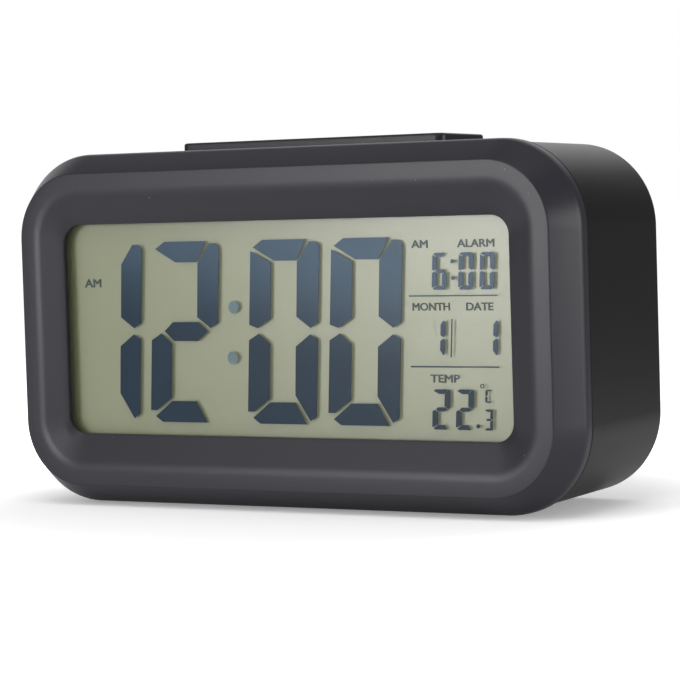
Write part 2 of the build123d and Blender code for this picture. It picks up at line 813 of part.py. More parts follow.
# Display stack, from the window backwards
with BuildPart() as lcd_front_polarizer:
    with BuildSketch(section(stack_polarizer)):
        Rectangle(window_width + 2 * polarizer_lap, window_height + 2 * polarizer_lap)
    extrude(amount=film)
lcd_front_polarizer.part.label = "lcd_front_polarizer"
export_step(lcd_front_polarizer.part, "parts/lcd_front_polarizer.step")

with BuildPart() as lcd_gasket:
    with BuildSketch(section(stack_polarizer)):
        Rectangle(panel_width, front_glass_height)
        Rectangle(
            window_width + 2 * (polarizer_lap + seat_gap),
            window_height + 2 * (polarizer_lap + seat_gap),
            mode=Mode.SUBTRACT,
        )
    extrude(amount=film)
lcd_gasket.part.label = "lcd_gasket"
export_step(lcd_gasket.part, "parts/lcd_gasket.step")

with BuildPart() as lcd_front_glass:
    with BuildSketch(section(stack_front_glass)):
        Rectangle(panel_width, front_glass_height)
    extrude(amount=glass)
lcd_front_glass.part.label = "lcd_front_glass"
export_step(lcd_front_glass.part, "parts/lcd_front_glass.step")

with BuildPart() as lcd_segments:
    with BuildSketch(section(stack_cell)):
        hour_x = digit_first_x + digit_pitch
        minute_x = hour_x + colon_pitch
        draw_digit("1", digit_first_x, digit_z, digit_half_width, digit_half_height)
        draw_digit("2", hour_x, digit_z, digit_half_width, digit_half_height)
        draw_digit("0", minute_x, digit_z, digit_half_width, digit_half_height)
        draw_digit("0", minute_x + digit_pitch, digit_z, digit_half_width, digit_half_height)
        colon_x = (hour_x + minute_x) / 2
        with Locations(slanted(colon_x, colon_upper_z), slanted(colon_x, colon_lower_z)):
            Circle(art_round * colon_radius)
        draw_digit("6", alarm_hour_x, alarm_z, alarm_half_width, alarm_half_height)
        draw_digit("0", alarm_minute_x, alarm_z, alarm_half_width, alarm_half_height)
        draw_digit("0", alarm_minute_x + alarm_pitch, alarm_z, alarm_half_width, alarm_half_height)
        alarm_dot_z = alarm_z + alarm_colon_lift
        alarm_dots = [drawn(alarm_colon_x, alarm_dot_z + side * alarm_colon_rise) for side in (-1, 1)]
        with Locations(*alarm_dots, drawn(point_x, point_z)):
            Circle(art_round * alarm_dot_radius)
        draw_digit("1", month_x, date_z, alarm_half_width, date_half_height)
        draw_digit("1", day_x, date_z, alarm_half_width, date_half_height)
        draw_digit("2", temp_x, temp_z, temp_half_width, temp_half_height)
        draw_digit("2", temp_x + temp_pitch, temp_z, temp_half_width, temp_half_height)
        draw_digit("3", tenth_x, tenth_z, tenth_half_width, tenth_half_height)
        draw_digit("C", unit_x, unit_z, unit_half_width, unit_half_height)
        with Locations(drawn(degree_x, degree_z)):
            Circle(art_round * degree_radius)
            Circle(art_round * (degree_radius - degree_line), mode=Mode.SUBTRACT)
        rule_x = (rule_left + rule_right) / 2
        with Locations(drawn(rule_x, rule_upper_z), drawn(rule_x, rule_lower_z)):
            Rectangle(art_x * (rule_right - rule_left), art_round * rule_line)
        with Locations(drawn(divider_x, date_z)):
            lean = math.degrees(math.atan(slant))
            Rectangle(art_round * rule_line, 2 * art_z * divider_half_height, rotation=-lean)
    extrude(amount=cell_gap)
lcd_segments.part.label = "lcd_segments"
export_step(lcd_segments.part, "parts/lcd_segments.step")

with BuildPart() as lcd_seal:
    with BuildSketch(section(stack_cell)):
        Rectangle(panel_width, panel_height)
        Rectangle(panel_width - 2 * seal_width, panel_height - 2 * seal_width, mode=Mode.SUBTRACT)
    extrude(amount=cell_gap)
lcd_seal.part.label = "lcd_seal"
export_step(lcd_seal.part, "parts/lcd_seal.step")

with BuildPart() as lcd_rear_glass:
    with BuildSketch(section(stack_rear_glass)):
        Rectangle(panel_width, panel_height)
    extrude(amount=glass)
lcd_rear_glass.part.label = "lcd_rear_glass"
export_step(lcd_rear_glass.part, "parts/lcd_rear_glass.step")

with BuildPart() as lcd_reflector:
    with BuildSketch(section(stack_reflector)):
        Rectangle(panel_width, panel_height)
    extrude(amount=film)
lcd_reflector.part.label = "lcd_reflector"
export_step(lcd_reflector.part, "parts/lcd_reflector.step")

with BuildPart() as light_guide:
    with BuildSketch(section(stack_guide)):
        Rectangle(panel_width, panel_height)
    extrude(amount=guide_thickness)
light_guide.part.label = "light_guide"
export_step(light_guide.part, "parts/light_guide.step")

with BuildPart() as backlight_sheet:
    with BuildSketch(section(stack_sheet)):
        Rectangle(panel_width, panel_height)
    extrude(amount=film)
backlight_sheet.part.label = "backlight_sheet"
export_step(backlight_sheet.part, "parts/backlight_sheet.step")

led_x = panel_width / 2 + seat_gap + led_reach / 2
led_points = [(sx * led_x, sz * led_z) for sx in (-1, 1) for sz in (-1, 1)]
with BuildPart() as backlight_leds:
    with BuildSketch(section(stack_sheet)):
        with Locations(*led_points):
            Rectangle(led_reach, led_width)
    extrude(amount=led_height)
backlight_leds.part.label = "backlight_leds"
export_step(backlight_leds.part, "parts/backlight_leds.step")

with BuildPart() as display_carrier:
    with BuildSketch(section(stack_sheet)):
        RectangleRounded(carrier_width, carrier_height, carrier_corner)
        with Locations(*boss_points):
            Circle(boss_radius + 2 * seat_gap, mode=Mode.SUBTRACT)
        with Locations(*display_screw_points):
            Circle(small_screw_radius + seat_gap, mode=Mode.SUBTRACT)
        Rectangle(panel_width + 2 * seat_gap, panel_height + 2 * seat_gap, mode=Mode.SUBTRACT)
        with Locations((0, strip_z), (0, -strip_z)):
            Rectangle(strip_length + 2 * seat_gap, strip_width + 2 * seat_gap, mode=Mode.SUBTRACT)
        with Locations(*led_points):
            Rectangle(led_reach + 2 * seat_gap, led_width + 2 * seat_gap, mode=Mode.SUBTRACT)
    extrude(amount=stack_sheet - seat_depth)
    with BuildSketch(section(stack_front_glass)):
        Rectangle(panel_width + 2 * seat_gap, front_glass_height + 2 * seat_gap)
    extrude(amount=stack_front_glass - seat_depth, mode=Mode.SUBTRACT)
display_carrier.part.label = "display_carrier"
export_step(display_carrier.part, "parts/display_carrier.step")

with BuildPart() as contact_strips:
    with BuildSketch(section(stack_sheet)):
        with Locations((0, strip_z), (0, -strip_z)):
            Rectangle(strip_length, strip_width)
    extrude(amount=stack_sheet - stack_front_glass)
contact_strips.part.label = "contact_strips"
export_step(contact_strips.part, "parts/contact_strips.step")

with BuildPart() as display_board:
    with BuildSketch(section(stack_board)):
        RectangleRounded(carrier_width, carrier_height, carrier_corner)
        with Locations(*boss_points):
            Circle(boss_radius + 2 * seat_gap, mode=Mode.SUBTRACT)
        with Locations(*display_screw_points):
            Circle(small_screw_radius + seat_gap, mode=Mode.SUBTRACT)
    extrude(amount=board_thickness)
display_board.part.label = "display_board"
export_step(display_board.part, "parts/display_board.step")

# Components on the back of the display board
with BuildPart() as controller_cap:
    with BuildSketch(section(stack_board + controller_height)):
        with Locations((controller_x, controller_z)):
            Circle(controller_radius)
    extrude(amount=controller_height)
    fillet(controller_cap.faces().sort_by(Axis.Y)[-1].edges(), controller_round)
controller_cap.part.label = "controller_cap"
export_step(controller_cap.part, "parts/controller_cap.step")

with BuildPart() as quartz_crystal:
    crystal_middle = place(crystal_x, stack_board + crystal_radius + solder_gap, crystal_z)
    with BuildSketch(Plane(origin=crystal_middle, x_dir=(0, 1, 0), z_dir=(1, 0, 0))):
        Circle(crystal_radius)
    extrude(amount=crystal_length / 2, both=True)
quartz_crystal.part.label = "quartz_crystal"
export_step(quartz_crystal.part, "parts/quartz_crystal.step")

with BuildPart() as thermistor:
    with BuildSketch(section(stack_board + thermistor_height)):
        with Locations((thermistor_x, thermistor_z)):
            Circle(thermistor_radius)
    extrude(amount=thermistor_height)
thermistor.part.label = "thermistor"
export_step(thermistor.part, "parts/thermistor.step")

# Screws
with BuildPart() as display_screws:
    with BuildSketch(section(stack_board + small_head_height)):
        with Locations(*display_screw_points):
            Circle(small_head_radius)
    extrude(amount=small_head_height)
    with BuildSketch(section(stack_board)):
        with Locations(*display_screw_points):
            Circle(small_screw_radius)
    extrude(amount=stack_board - seat_depth + display_screw_bite)
display_screws.part.label = "display_screws"
export_step(display_screws.part, "parts/display_screws.step")

with BuildPart() as board_screws:
    with BuildSketch(section(row_board_front)):
        with Locations((-board_boss_x, row_z), (board_boss_x, row_z)):
            Circle(small_head_radius)
    extrude(amount=small_head_height)
    with BuildSketch(section(row_board_front)):
        with Locations((-board_boss_x, row_z), (board_boss_x, row_z)):
            Circle(small_screw_radius)
    extrude(amount=-small_screw_length)
    with BuildSketch(top_plane(bar_board_face - board_thickness)):
        with GridLocations(bar_post_span, 0, 2, 1):
            Circle(small_head_radius)
    extrude(amount=-small_head_height)
    with BuildSketch(top_plane(bar_board_face - board_thickness)):
        with GridLocations(bar_post_span, 0, 2, 1):
            Circle(small_screw_radius)
    extrude(amount=small_screw_length)
board_screws.part.label = "board_screws"
export_step(board_screws.part, "parts/board_screws.step")

with BuildPart() as housing_screws:
    with BuildSketch(section(screw_seat + screw_head_height)):
        with Locations(*boss_points):
            Circle(screw_head_radius)
    extrude(amount=screw_head_height)
    with BuildSketch(section(screw_seat)):
        with Locations(*boss_points):
            Circle(screw_radius)
    extrude(amount=screw_length)
housing_screws.part.label = "housing_screws"
export_step(housing_screws.part, "parts/housing_screws.step")

# Buzzer
with BuildPart() as buzzer:
    with BuildSketch(section(inner_rear)):
        with Locations((buzzer_x, buzzer_z)):
            Circle(buzzer_radius)
    extrude(amount=buzzer_height)
buzzer.part.label = "buzzer"
export_step(buzzer.part, "parts/buzzer.step")

# Cells lie across the bay, turned end for end in turn, each on a contact plate and a spring
with BuildPart() as aaa_cells:
    for row, sign in zip(cell_rows, cell_signs):
        nub_end = place(sign * plate_x, cell_depth, row)
        shoulder = place(sign * (plate_x - cell_nub_length), cell_depth, row)
        with BuildSketch(Plane(origin=nub_end, x_dir=(0, 0, 1), z_dir=(-sign, 0, 0))):
            Circle(cell_nub_radius)
        extrude(amount=cell_nub_length)
        with BuildSketch(Plane(origin=shoulder, x_dir=(0, 0, 1), z_dir=(-sign, 0, 0))):
            Circle(cell_radius)
        extrude(amount=cell_length - cell_nub_length)
aaa_cells.part.label = "aaa_cells"
export_step(aaa_cells.part, "parts/aaa_cells.step")

with BuildPart() as battery_springs:
    for row, sign in zip(cell_rows, cell_signs):
        foot = place(-sign * plate_x, cell_depth, row)
        with BuildSketch(Plane(origin=foot, x_dir=(0, 0, 1), z_dir=(sign, 0, 0))):
            Circle(spring_base_radius)
        lean = math.degrees(math.atan((spring_base_radius - spring_tip_radius) / spring_length))
        extrude(amount=spring_length, taper=lean)
battery_springs.part.label = "battery_springs"
export_step(battery_springs.part, "parts/battery_springs.step")

with BuildPart() as contact_plates:
    for row in cell_rows:
        for sign in (-1, 1):
            middle = place(sign * plate_x, cell_depth, row)
            with BuildSketch(Plane(origin=middle, x_dir=(0, 1, 0), z_dir=(sign, 0, 0))):
                Rectangle(plate_height, plate_height)
            extrude(amount=plate_thickness)
    for sign, row in end_contacts:
        tag_root = place(sign * bay_length / 2, cell_depth, row)
        with BuildSketch(Plane(origin=tag_root, x_dir=(0, 1, 0), z_dir=(sign, 0, 0))):
            Rectangle(tag_width, plate_thickness)
        extrude(amount=bay_wall + tag_reach)
contact_plates.part.label = "contact_plates"
export_step(contact_plates.part, "parts/contact_plates.step")

# Wires: battery leads from the tags, buzzer leads and snooze leads, all to the display board
tag_end = bay_length / 2 + bay_wall + tag_reach


def battery_route(side, row, lean):
    """Route of one battery lead, bowed out beside the bay, from its contact's tag to the display board."""
    run = cell_depth - stack_board
    return [
        place(side * tag_end, cell_depth, row),
        place(side * (tag_end + lead_run), cell_depth, row),
        place(side * (tag_end + lead_bow), cell_depth - lead_dip, row + lean),
        place(side * (tag_end + lead_bow - lead_sag), cell_depth - 0.62 * run, row + 1.5 * lean),
        place(side * (tag_end + lead_run), stack_board + lead_run, row + lean),
        place(side * (tag_end + lead_run), stack_board, row + lean),
    ]


def lead_routes(start, corner, drop, end_x):
    """Two side by side routes from a start point, by a corner, to the back of the display board."""
    routes = []
    for side in (-1, 1):
        shift = side * 2 * wire_radius
        routes.append(
            [
                (start[0] + shift, start[1], start[2]),
                (corner[0] + shift, corner[1], corner[2]),
                place(end_x + shift, stack_board + drop, corner[2] - mid_z - drop),
                place(end_x + shift, stack_board, corner[2] - mid_z - drop),
            ]
        )
    return routes


buzzer_routes = lead_routes(
    place(buzzer_x, inner_rear - buzzer_height, buzzer_z),
    place(buzzer_x, inner_rear - buzzer_height - buzzer_lead_run, buzzer_z),
    buzzer_lead_run,
    buzzer_x - buzzer_lead_shift,
)
snooze_start = on_top(0, -bar_board_width / 4, bar_board_face - board_thickness - solder_gap)
snooze_corner = (0, snooze_start[1], snooze_start[2] - snooze_lead_drop)
snooze_routes = lead_routes(snooze_start, snooze_corner, snooze_lead_run, 0)


def lay_wire(route):
    """Adds one wire along its route to the part in hand and prints its bends."""
    radii = bend_radii(route)
    print("wire bends", [round(radius, 1) for radius in radii])
    with BuildLine() as path:
        FilletPolyline(*route, radius=radii)
    with BuildSketch(Plane(origin=path.line @ 0, z_dir=path.line % 0)) as profile:
        Circle(wire_radius)
    sweep(profile.sketch, path=path.line)


with BuildPart() as battery_wires:
    for (side, row), lean in zip(end_contacts, (-lead_lean, lead_lean)):
        lay_wire(battery_route(side, row, lean))
battery_wires.part.label = "battery_wires"
export_step(battery_wires.part, "parts/battery_wires.step")

with BuildPart() as buzzer_wires:
    for route in buzzer_routes:
        lay_wire(route)
buzzer_wires.part.label = "buzzer_wires"
export_step(buzzer_wires.part, "parts/buzzer_wires.step")

with BuildPart() as snooze_wires:
    for route in snooze_routes:
        lay_wire(route)
snooze_wires.part.label = "snooze_wires"
export_step(snooze_wires.part, "parts/snooze_wires.step")

# Ribbon cable from the button board to the display board
ribbon_route = [
    place(ribbon_x, row_board_front, row_z - ribbon_margin),
    place(ribbon_x, row_board_front - ribbon_run, row_z - ribbon_margin),
    place(ribbon_x, stack_board + ribbon_end_run, row_z - ribbon_margin - ribbon_drop),
    place(ribbon_x, stack_board, row_z - ribbon_margin - ribbon_drop),
]
with BuildPart() as ribbon_cable:
    with BuildLine() as ribbon_path:
        FilletPolyline(*ribbon_route, radius=bend_radii(ribbon_route))
    with BuildSketch(Plane(origin=ribbon_path.line @ 0, x_dir=(1, 0, 0), z_dir=ribbon_path.line % 0)):
        Rectangle(ribbon_width, ribbon_thickness)
    sweep(path=ribbon_path.line)
ribbon_cable.part.label = "ribbon_cable"
export_step(ribbon_cable.part, "parts/ribbon_cable.step")
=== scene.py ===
"""Looks of a desk alarm clock with a liquid crystal display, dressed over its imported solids.

Metres. X runs to the right of the display, Y from the display to the back, Z up. The origin is
on the table under the middle of the case. Lengths named in the tables below are in millimetres:
depths are counted from the bezel's crest to the back, heights from the middle of the case.
"""

import math
from types import SimpleNamespace

import bmesh
import bpy
import numpy as np
from bpy.props import FloatProperty, FloatVectorProperty, PointerProperty
from mathutils import Matrix, Vector


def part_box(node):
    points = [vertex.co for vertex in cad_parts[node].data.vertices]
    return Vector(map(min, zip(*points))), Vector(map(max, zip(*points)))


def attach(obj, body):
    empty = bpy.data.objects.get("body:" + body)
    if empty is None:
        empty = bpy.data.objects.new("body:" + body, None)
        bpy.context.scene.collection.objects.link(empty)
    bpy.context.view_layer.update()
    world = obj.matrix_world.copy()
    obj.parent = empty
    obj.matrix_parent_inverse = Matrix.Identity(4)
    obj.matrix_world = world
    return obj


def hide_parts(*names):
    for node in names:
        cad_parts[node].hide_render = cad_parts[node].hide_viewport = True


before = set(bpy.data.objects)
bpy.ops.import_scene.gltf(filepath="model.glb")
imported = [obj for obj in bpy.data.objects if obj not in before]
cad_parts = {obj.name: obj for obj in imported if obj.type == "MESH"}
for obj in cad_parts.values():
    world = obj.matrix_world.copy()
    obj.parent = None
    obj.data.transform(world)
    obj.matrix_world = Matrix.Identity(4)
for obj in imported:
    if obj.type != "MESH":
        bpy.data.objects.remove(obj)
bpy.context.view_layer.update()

bl_info = {
    "name": "Desk alarm clock",
    "version": (1, 0, 0),
    "blender": (4, 5, 0),
    "location": "3D View > Sidebar > Clock",
    "description": "Builds the looks of a desk alarm clock over its solids",
    "category": "Add Mesh",
}

MM = 0.001
CLOCK_DEPTH = 45.0
MID_Z = 37.9
SHARP_ANGLE = math.radians(32)
FLAT_ANGLE = math.radians(0.3)
BEZEL_LOW, BEZEL_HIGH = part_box("front_bezel")


def size_prop(name, text, default):
    """A length in metres that a user may change, its default given in millimetres."""
    return FloatProperty(
        name=name, description=text, default=default * MM, min=0.0, precision=5, subtype="DISTANCE", unit="LENGTH"
    )


def colour_prop(name, text, default):
    """A linear colour that a user may change."""
    return FloatVectorProperty(
        name=name, description=text, default=default, size=3, min=0.0, max=1.0, subtype="COLOR"
    )


class ClockSizes(bpy.types.PropertyGroup):
    """Lengths of the dressed pieces."""

    half_width: size_prop("Half width", "Half the bezel's width", (BEZEL_HIGH.x - BEZEL_LOW.x) / (2 * MM))
    half_height: size_prop("Half height", "Half the bezel's height", (BEZEL_HIGH.z - BEZEL_LOW.z) / (2 * MM))
    ring_corner: size_prop("Corner", "Radius of the bezel's corners", 18.0)
    window_corner: size_prop("Window corner", "Radius of the window's corners", 4.0)
    bar_half_length: size_prop("Bar half length", "Half the snooze bar's length", 32.2)
    bar_half_width: size_prop("Bar half width", "Half the snooze bar's width", 9.5)
    bar_rise: size_prop("Bar rise", "Height of the snooze bar above the housing", 2.6)
    foot_radius: size_prop("Foot radius", "Radius of a rubber foot", 4.0)
    cell_radius: size_prop("Cell radius", "Radius of a battery cell", 5.2)
    wire_radius: size_prop("Spring wire", "Radius of the battery springs' wire", 0.35)


class ClockColours(bpy.types.PropertyGroup):
    """Base colours of the finishes, linear."""

    bezel: colour_prop("Bezel", "Satin black front moulding", (0.0235, 0.0226, 0.0290))
    housing: colour_prop("Housing", "Satin black rear moulding", (0.0094, 0.0088, 0.0086))
    bar: colour_prop("Snooze bar", "Satin black bar", (0.020, 0.0192, 0.0240))
    keys: colour_prop("Keys", "Rear buttons and switch", (0.030, 0.030, 0.031))
    ground: colour_prop("Display ground", "Grey green reflector", (0.172, 0.188, 0.101))
    segment: colour_prop("Segments", "Dark blue grey segments", (0.005, 0.020, 0.038))
    # Painted sheen: a lighter blue grey blended into the segments towards the upper right, standing in for glare on
    # the display
    segment_sheen: colour_prop("Segment tops", "Blue grey of the segments higher up", (0.040, 0.074, 0.112))
    film: colour_prop("Film", "Tint of the display's film at a slant", (0.020, 0.022, 0.020))
    legend: colour_prop("Legends", "Dark grey words of the display", (0.034, 0.050, 0.056))
    colon: colour_prop("Colon", "Pale colon dots", (0.100, 0.148, 0.156))
    print: colour_prop("Print", "Pale printed lettering", (0.52, 0.52, 0.50))
    sleeve: colour_prop("Cell sleeve", "Grey sleeve of a cell", (0.30, 0.31, 0.33))
    band: colour_prop("Sleeve band", "Dark band at a cell's nub end", (0.020, 0.035, 0.070))


def lengths(context):
    """The sizes that a user may change, in millimetres."""
    sizes = context.scene.clock_sizes
    return SimpleNamespace(**{name: getattr(sizes, name) / MM for name in ClockSizes.__annotations__})


def to_frame(x, depth, height):
    """Millimetres across, behind the crest and above the middle, as points of the frame in metres."""
    x, depth, height = np.broadcast_arrays(x, depth, height)
    return np.stack([x, depth - CLOCK_DEPTH / 2, height + MID_Z], axis=-1) * MM


# Meshes


def grid_faces(rows, columns, close_rows=False, close_columns=True):
    """Quads of a grid of rows by columns, wrapped round where it closes on itself."""
    i = np.arange(rows if close_rows else rows - 1)[:, None]
    j = np.arange(columns if close_columns else columns - 1)[None, :]
    i2, j2 = (i + 1) % rows, (j + 1) % columns
    corners = [i * columns + j, i * columns + j2, i2 * columns + j2, i2 * columns + j]
    return np.stack([np.broadcast_to(c, (i.size, j.size)) for c in corners], axis=-1).reshape(-1, 4)


def capped(rows, columns):
    """Faces of a tube of rows by columns, closed by one face at each end."""
    last = (rows - 1) * columns
    ends = [list(range(columns - 1, -1, -1)), list(range(last, last + columns))]
    return grid_faces(rows, columns).tolist() + ends


def put_mesh(name, points, faces, weld=0.0):
    """A mesh object from an array of points and its faces, welded where asked, its faces turned outwards."""
    mesh = bpy.data.meshes.new(name)
    polygons = [tuple(int(k) for k in face) for face in faces]
    mesh.from_pydata(np.asarray(points, float).reshape(-1, 3).tolist(), [], polygons)
    work = bmesh.new()
    work.from_mesh(mesh)
    if weld:
        bmesh.ops.remove_doubles(work, verts=work.verts, dist=weld)
    bmesh.ops.recalc_face_normals(work, faces=work.faces)
    work.to_mesh(mesh)
    work.free()
    return link_mesh(name, mesh)


def link_mesh(name, mesh, angle=SHARP_ANGLE):
    """Links a mesh as an object, smooth except across edges sharper than the angle."""
    mesh.polygons.foreach_set("use_smooth", np.ones(len(mesh.polygons), bool))
    mesh.set_sharp_from_angle(angle=angle)
    mesh.update()
    piece = bpy.data.objects.new(name, mesh)
    bpy.context.scene.collection.objects.link(piece)
    return piece


def joined(parts):
    """One array of points and one of faces from several (points, faces) pairs."""
    points, faces, start = [], [], 0
    for part_points, part_faces in parts:
        flat = np.asarray(part_points, float).reshape(-1, 3)
        points.append(flat)
        faces += [tuple(k + start for k in face) for face in part_faces]
        start += len(flat)
    return np.concatenate(points), faces


def dressed_copy(name, node):
    """A merged copy of a solid's mesh, its flats made single faces and its normals weighted by face area."""
    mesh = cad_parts[node].data.copy()
    mesh.name = name
    mesh.materials.clear()
    work = bmesh.new()
    work.from_mesh(mesh)
    bmesh.ops.remove_doubles(work, verts=work.verts, dist=1e-6)
    bmesh.ops.dissolve_limit(work, angle_limit=FLAT_ANGLE, verts=work.verts, edges=work.edges)
    work.to_mesh(mesh)
    work.free()
    piece = link_mesh(name, mesh)
    weight = piece.modifiers.new("weighted normals", "WEIGHTED_NORMAL")
    weight.keep_sharp = True
    return piece


def settle(piece, body, slot, finish, *nodes):
    """Gives a piece its finish and body, and hides the solids that it stands for. The slot is not used."""
    piece.data.materials.clear()
    piece.data.materials.append(finish)
    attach(piece, body)
    if nodes:
        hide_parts(*nodes)
    return piece


ARC_STEPS = 20
RUN_SHARES = np.array([0.004, 0.02, 0.06, 0.15, 0.3, 0.5, 0.7, 0.85, 0.94, 0.98, 0.996])


def rounded_rings(half_widths, half_heights, radii):
    """Rows of rounded rectangles: four quarter arcs about their corners, joined by divided straight runs."""
    w, h, r = (np.asarray(a, float)[:, None] for a in np.broadcast_arrays(half_widths, half_heights, radii))
    turn = np.linspace(0, math.pi / 2, ARC_STEPS + 1)[None, :]
    arcs = []
    for k, (sx, sz) in enumerate(((1, 1), (-1, 1), (-1, -1), (1, -1))):
        angle = turn + k * math.pi / 2
        arcs.append(np.stack([sx * (w - r) + r * np.cos(angle), sz * (h - r) + r * np.sin(angle)], axis=-1))
    pieces = []
    for k in range(4):
        start, end = arcs[k][:, -1:, :], arcs[(k + 1) % 4][:, :1, :]
        pieces += [arcs[k], start + (end - start) * RUN_SHARES[None, :, None]]
    return np.concatenate(pieces, axis=1)


def turned(profile, axis_point, axis, side, steps=48):
    """A profile of (radius, distance along the axis) turned about an axis through a point."""
    profile = np.asarray(profile, float)
    axis, side = np.asarray(axis, float), np.asarray(side, float)
    other = np.cross(axis, side)
    angle = np.linspace(-math.pi, math.pi, steps, endpoint=False)
    ring = np.cos(angle)[:, None] * side + np.sin(angle)[:, None] * other
    points = (
        np.asarray(axis_point, float)
        + profile[:, 1][:, None, None] * axis
        + profile[:, 0][:, None, None] * ring[None]
    )
    return points, capped(len(profile), steps)


def arc(centre_a, centre_b, radius, start, end, steps=6):
    """Points on a circle's arc in a profile's plane, angles in degrees."""
    t = np.radians(np.linspace(start, end, steps + 1))
    return np.stack([centre_a + radius * np.cos(t), centre_b + radius * np.sin(t)], axis=-1)


def bezier(start, bend, end, steps=8):
    """Points on a quadratic curve that leaves start and reaches end along its bend."""
    t = np.linspace(0, 1, steps + 1)[:, None]
    start, bend, end = (np.asarray(p, float)[None, :] for p in (start, bend, end))
    return (1 - t) ** 2 * start + 2 * t * (1 - t) * bend + t**2 * end


# Finishes


def add_node(tree, kind, **sockets):
    """A shader node with its sockets set by name."""
    node = tree.nodes.new(kind)
    for name, value in sockets.items():
        node.inputs[name.replace("_", " ")].default_value = value
    return node


def group_of(name, inputs, outputs):
    """An empty shader node group with float inputs and outputs, and its two end nodes."""
    tree = bpy.data.node_groups.new(name, "ShaderNodeTree")
    for label, kind, default in inputs:
        socket = tree.interface.new_socket(label, in_out="INPUT", socket_type=kind)
        if default is not None:
            socket.default_value = default
    for label, kind in outputs:
        tree.interface.new_socket(label, in_out="OUTPUT", socket_type=kind)
    return tree, tree.nodes.new("NodeGroupInput"), tree.nodes.new("NodeGroupOutput")


def math_node(tree, operation, a, b=None, clamp=False):
    """A math node on two sockets or numbers."""
    node = tree.nodes.new("ShaderNodeMath")
    node.operation, node.use_clamp = operation, clamp
    for socket, value in zip(node.inputs, (a, b)):
        if value is None:
            continue
        if isinstance(value, (int, float)):
            socket.default_value = value
        else:
            tree.links.new(value, socket)
    return node.outputs[0]


def noise(tree, vector, scale, detail=2.0, roughness=0.5):
    """A noise texture's value on a vector."""
    node = add_node(tree, "ShaderNodeTexNoise", Detail=detail, Roughness=roughness)
    if isinstance(scale, (int, float)):
        node.inputs["Scale"].default_value = scale
    else:
        tree.links.new(scale, node.inputs["Scale"])
    tree.links.new(vector, node.inputs["Vector"])
    return node.outputs["Fac"]


def make_grain_group():
    """Grain: a fine noise for the bump, a broad one for shade and roughness, each about nought."""
    tree, given, result = group_of(
        "moulded grain",
        [
            ("Vector", "NodeSocketVector", None),
            ("Fine scale", "NodeSocketFloat", 2600.0),
            ("Broad scale", "NodeSocketFloat", 60.0),
        ],
        [("Height", "NodeSocketFloat"), ("Shade", "NodeSocketFloat"), ("Gloss", "NodeSocketFloat")],
    )
    fine = noise(tree, given.outputs["Vector"], given.outputs["Fine scale"], 3.0, 0.6)
    broad = noise(tree, given.outputs["Vector"], given.outputs["Broad scale"], 4.0, 0.55)
    tree.links.new(fine, result.inputs["Height"])
    tree.links.new(math_node(tree, "SUBTRACT", broad, 0.5), result.inputs["Shade"])
    mixed = math_node(tree, "ADD", math_node(tree, "MULTIPLY", fine, 0.5), math_node(tree, "MULTIPLY", broad, 0.5))
    tree.links.new(math_node(tree, "SUBTRACT", mixed, 0.5), result.inputs["Gloss"])
    return tree


def make_dust_group():
    """Dust: a soft speck about a few points of a random scatter, nought elsewhere."""
    tree, given, result = group_of(
        "dust specks",
        [
            ("Vector", "NodeSocketVector", None),
            ("Scale", "NodeSocketFloat", 400.0),
            ("Size", "NodeSocketFloat", 0.05),
        ],
        [("Mask", "NodeSocketFloat")],
    )
    scatter = tree.nodes.new("ShaderNodeTexVoronoi")
    tree.links.new(given.outputs["Vector"], scatter.inputs["Vector"])
    tree.links.new(given.outputs["Scale"], scatter.inputs["Scale"])
    chance = tree.nodes.new("ShaderNodeSeparateColor")
    tree.links.new(scatter.outputs["Color"], chance.inputs[0])
    chosen = math_node(tree, "GREATER_THAN", chance.outputs[0], 0.86)
    share = math_node(tree, "DIVIDE", scatter.outputs["Distance"], given.outputs["Size"])
    speck = math_node(tree, "SUBTRACT", 1.0, share, clamp=True)
    tree.links.new(math_node(tree, "MULTIPLY", speck, chosen), result.inputs["Mask"])
    return tree


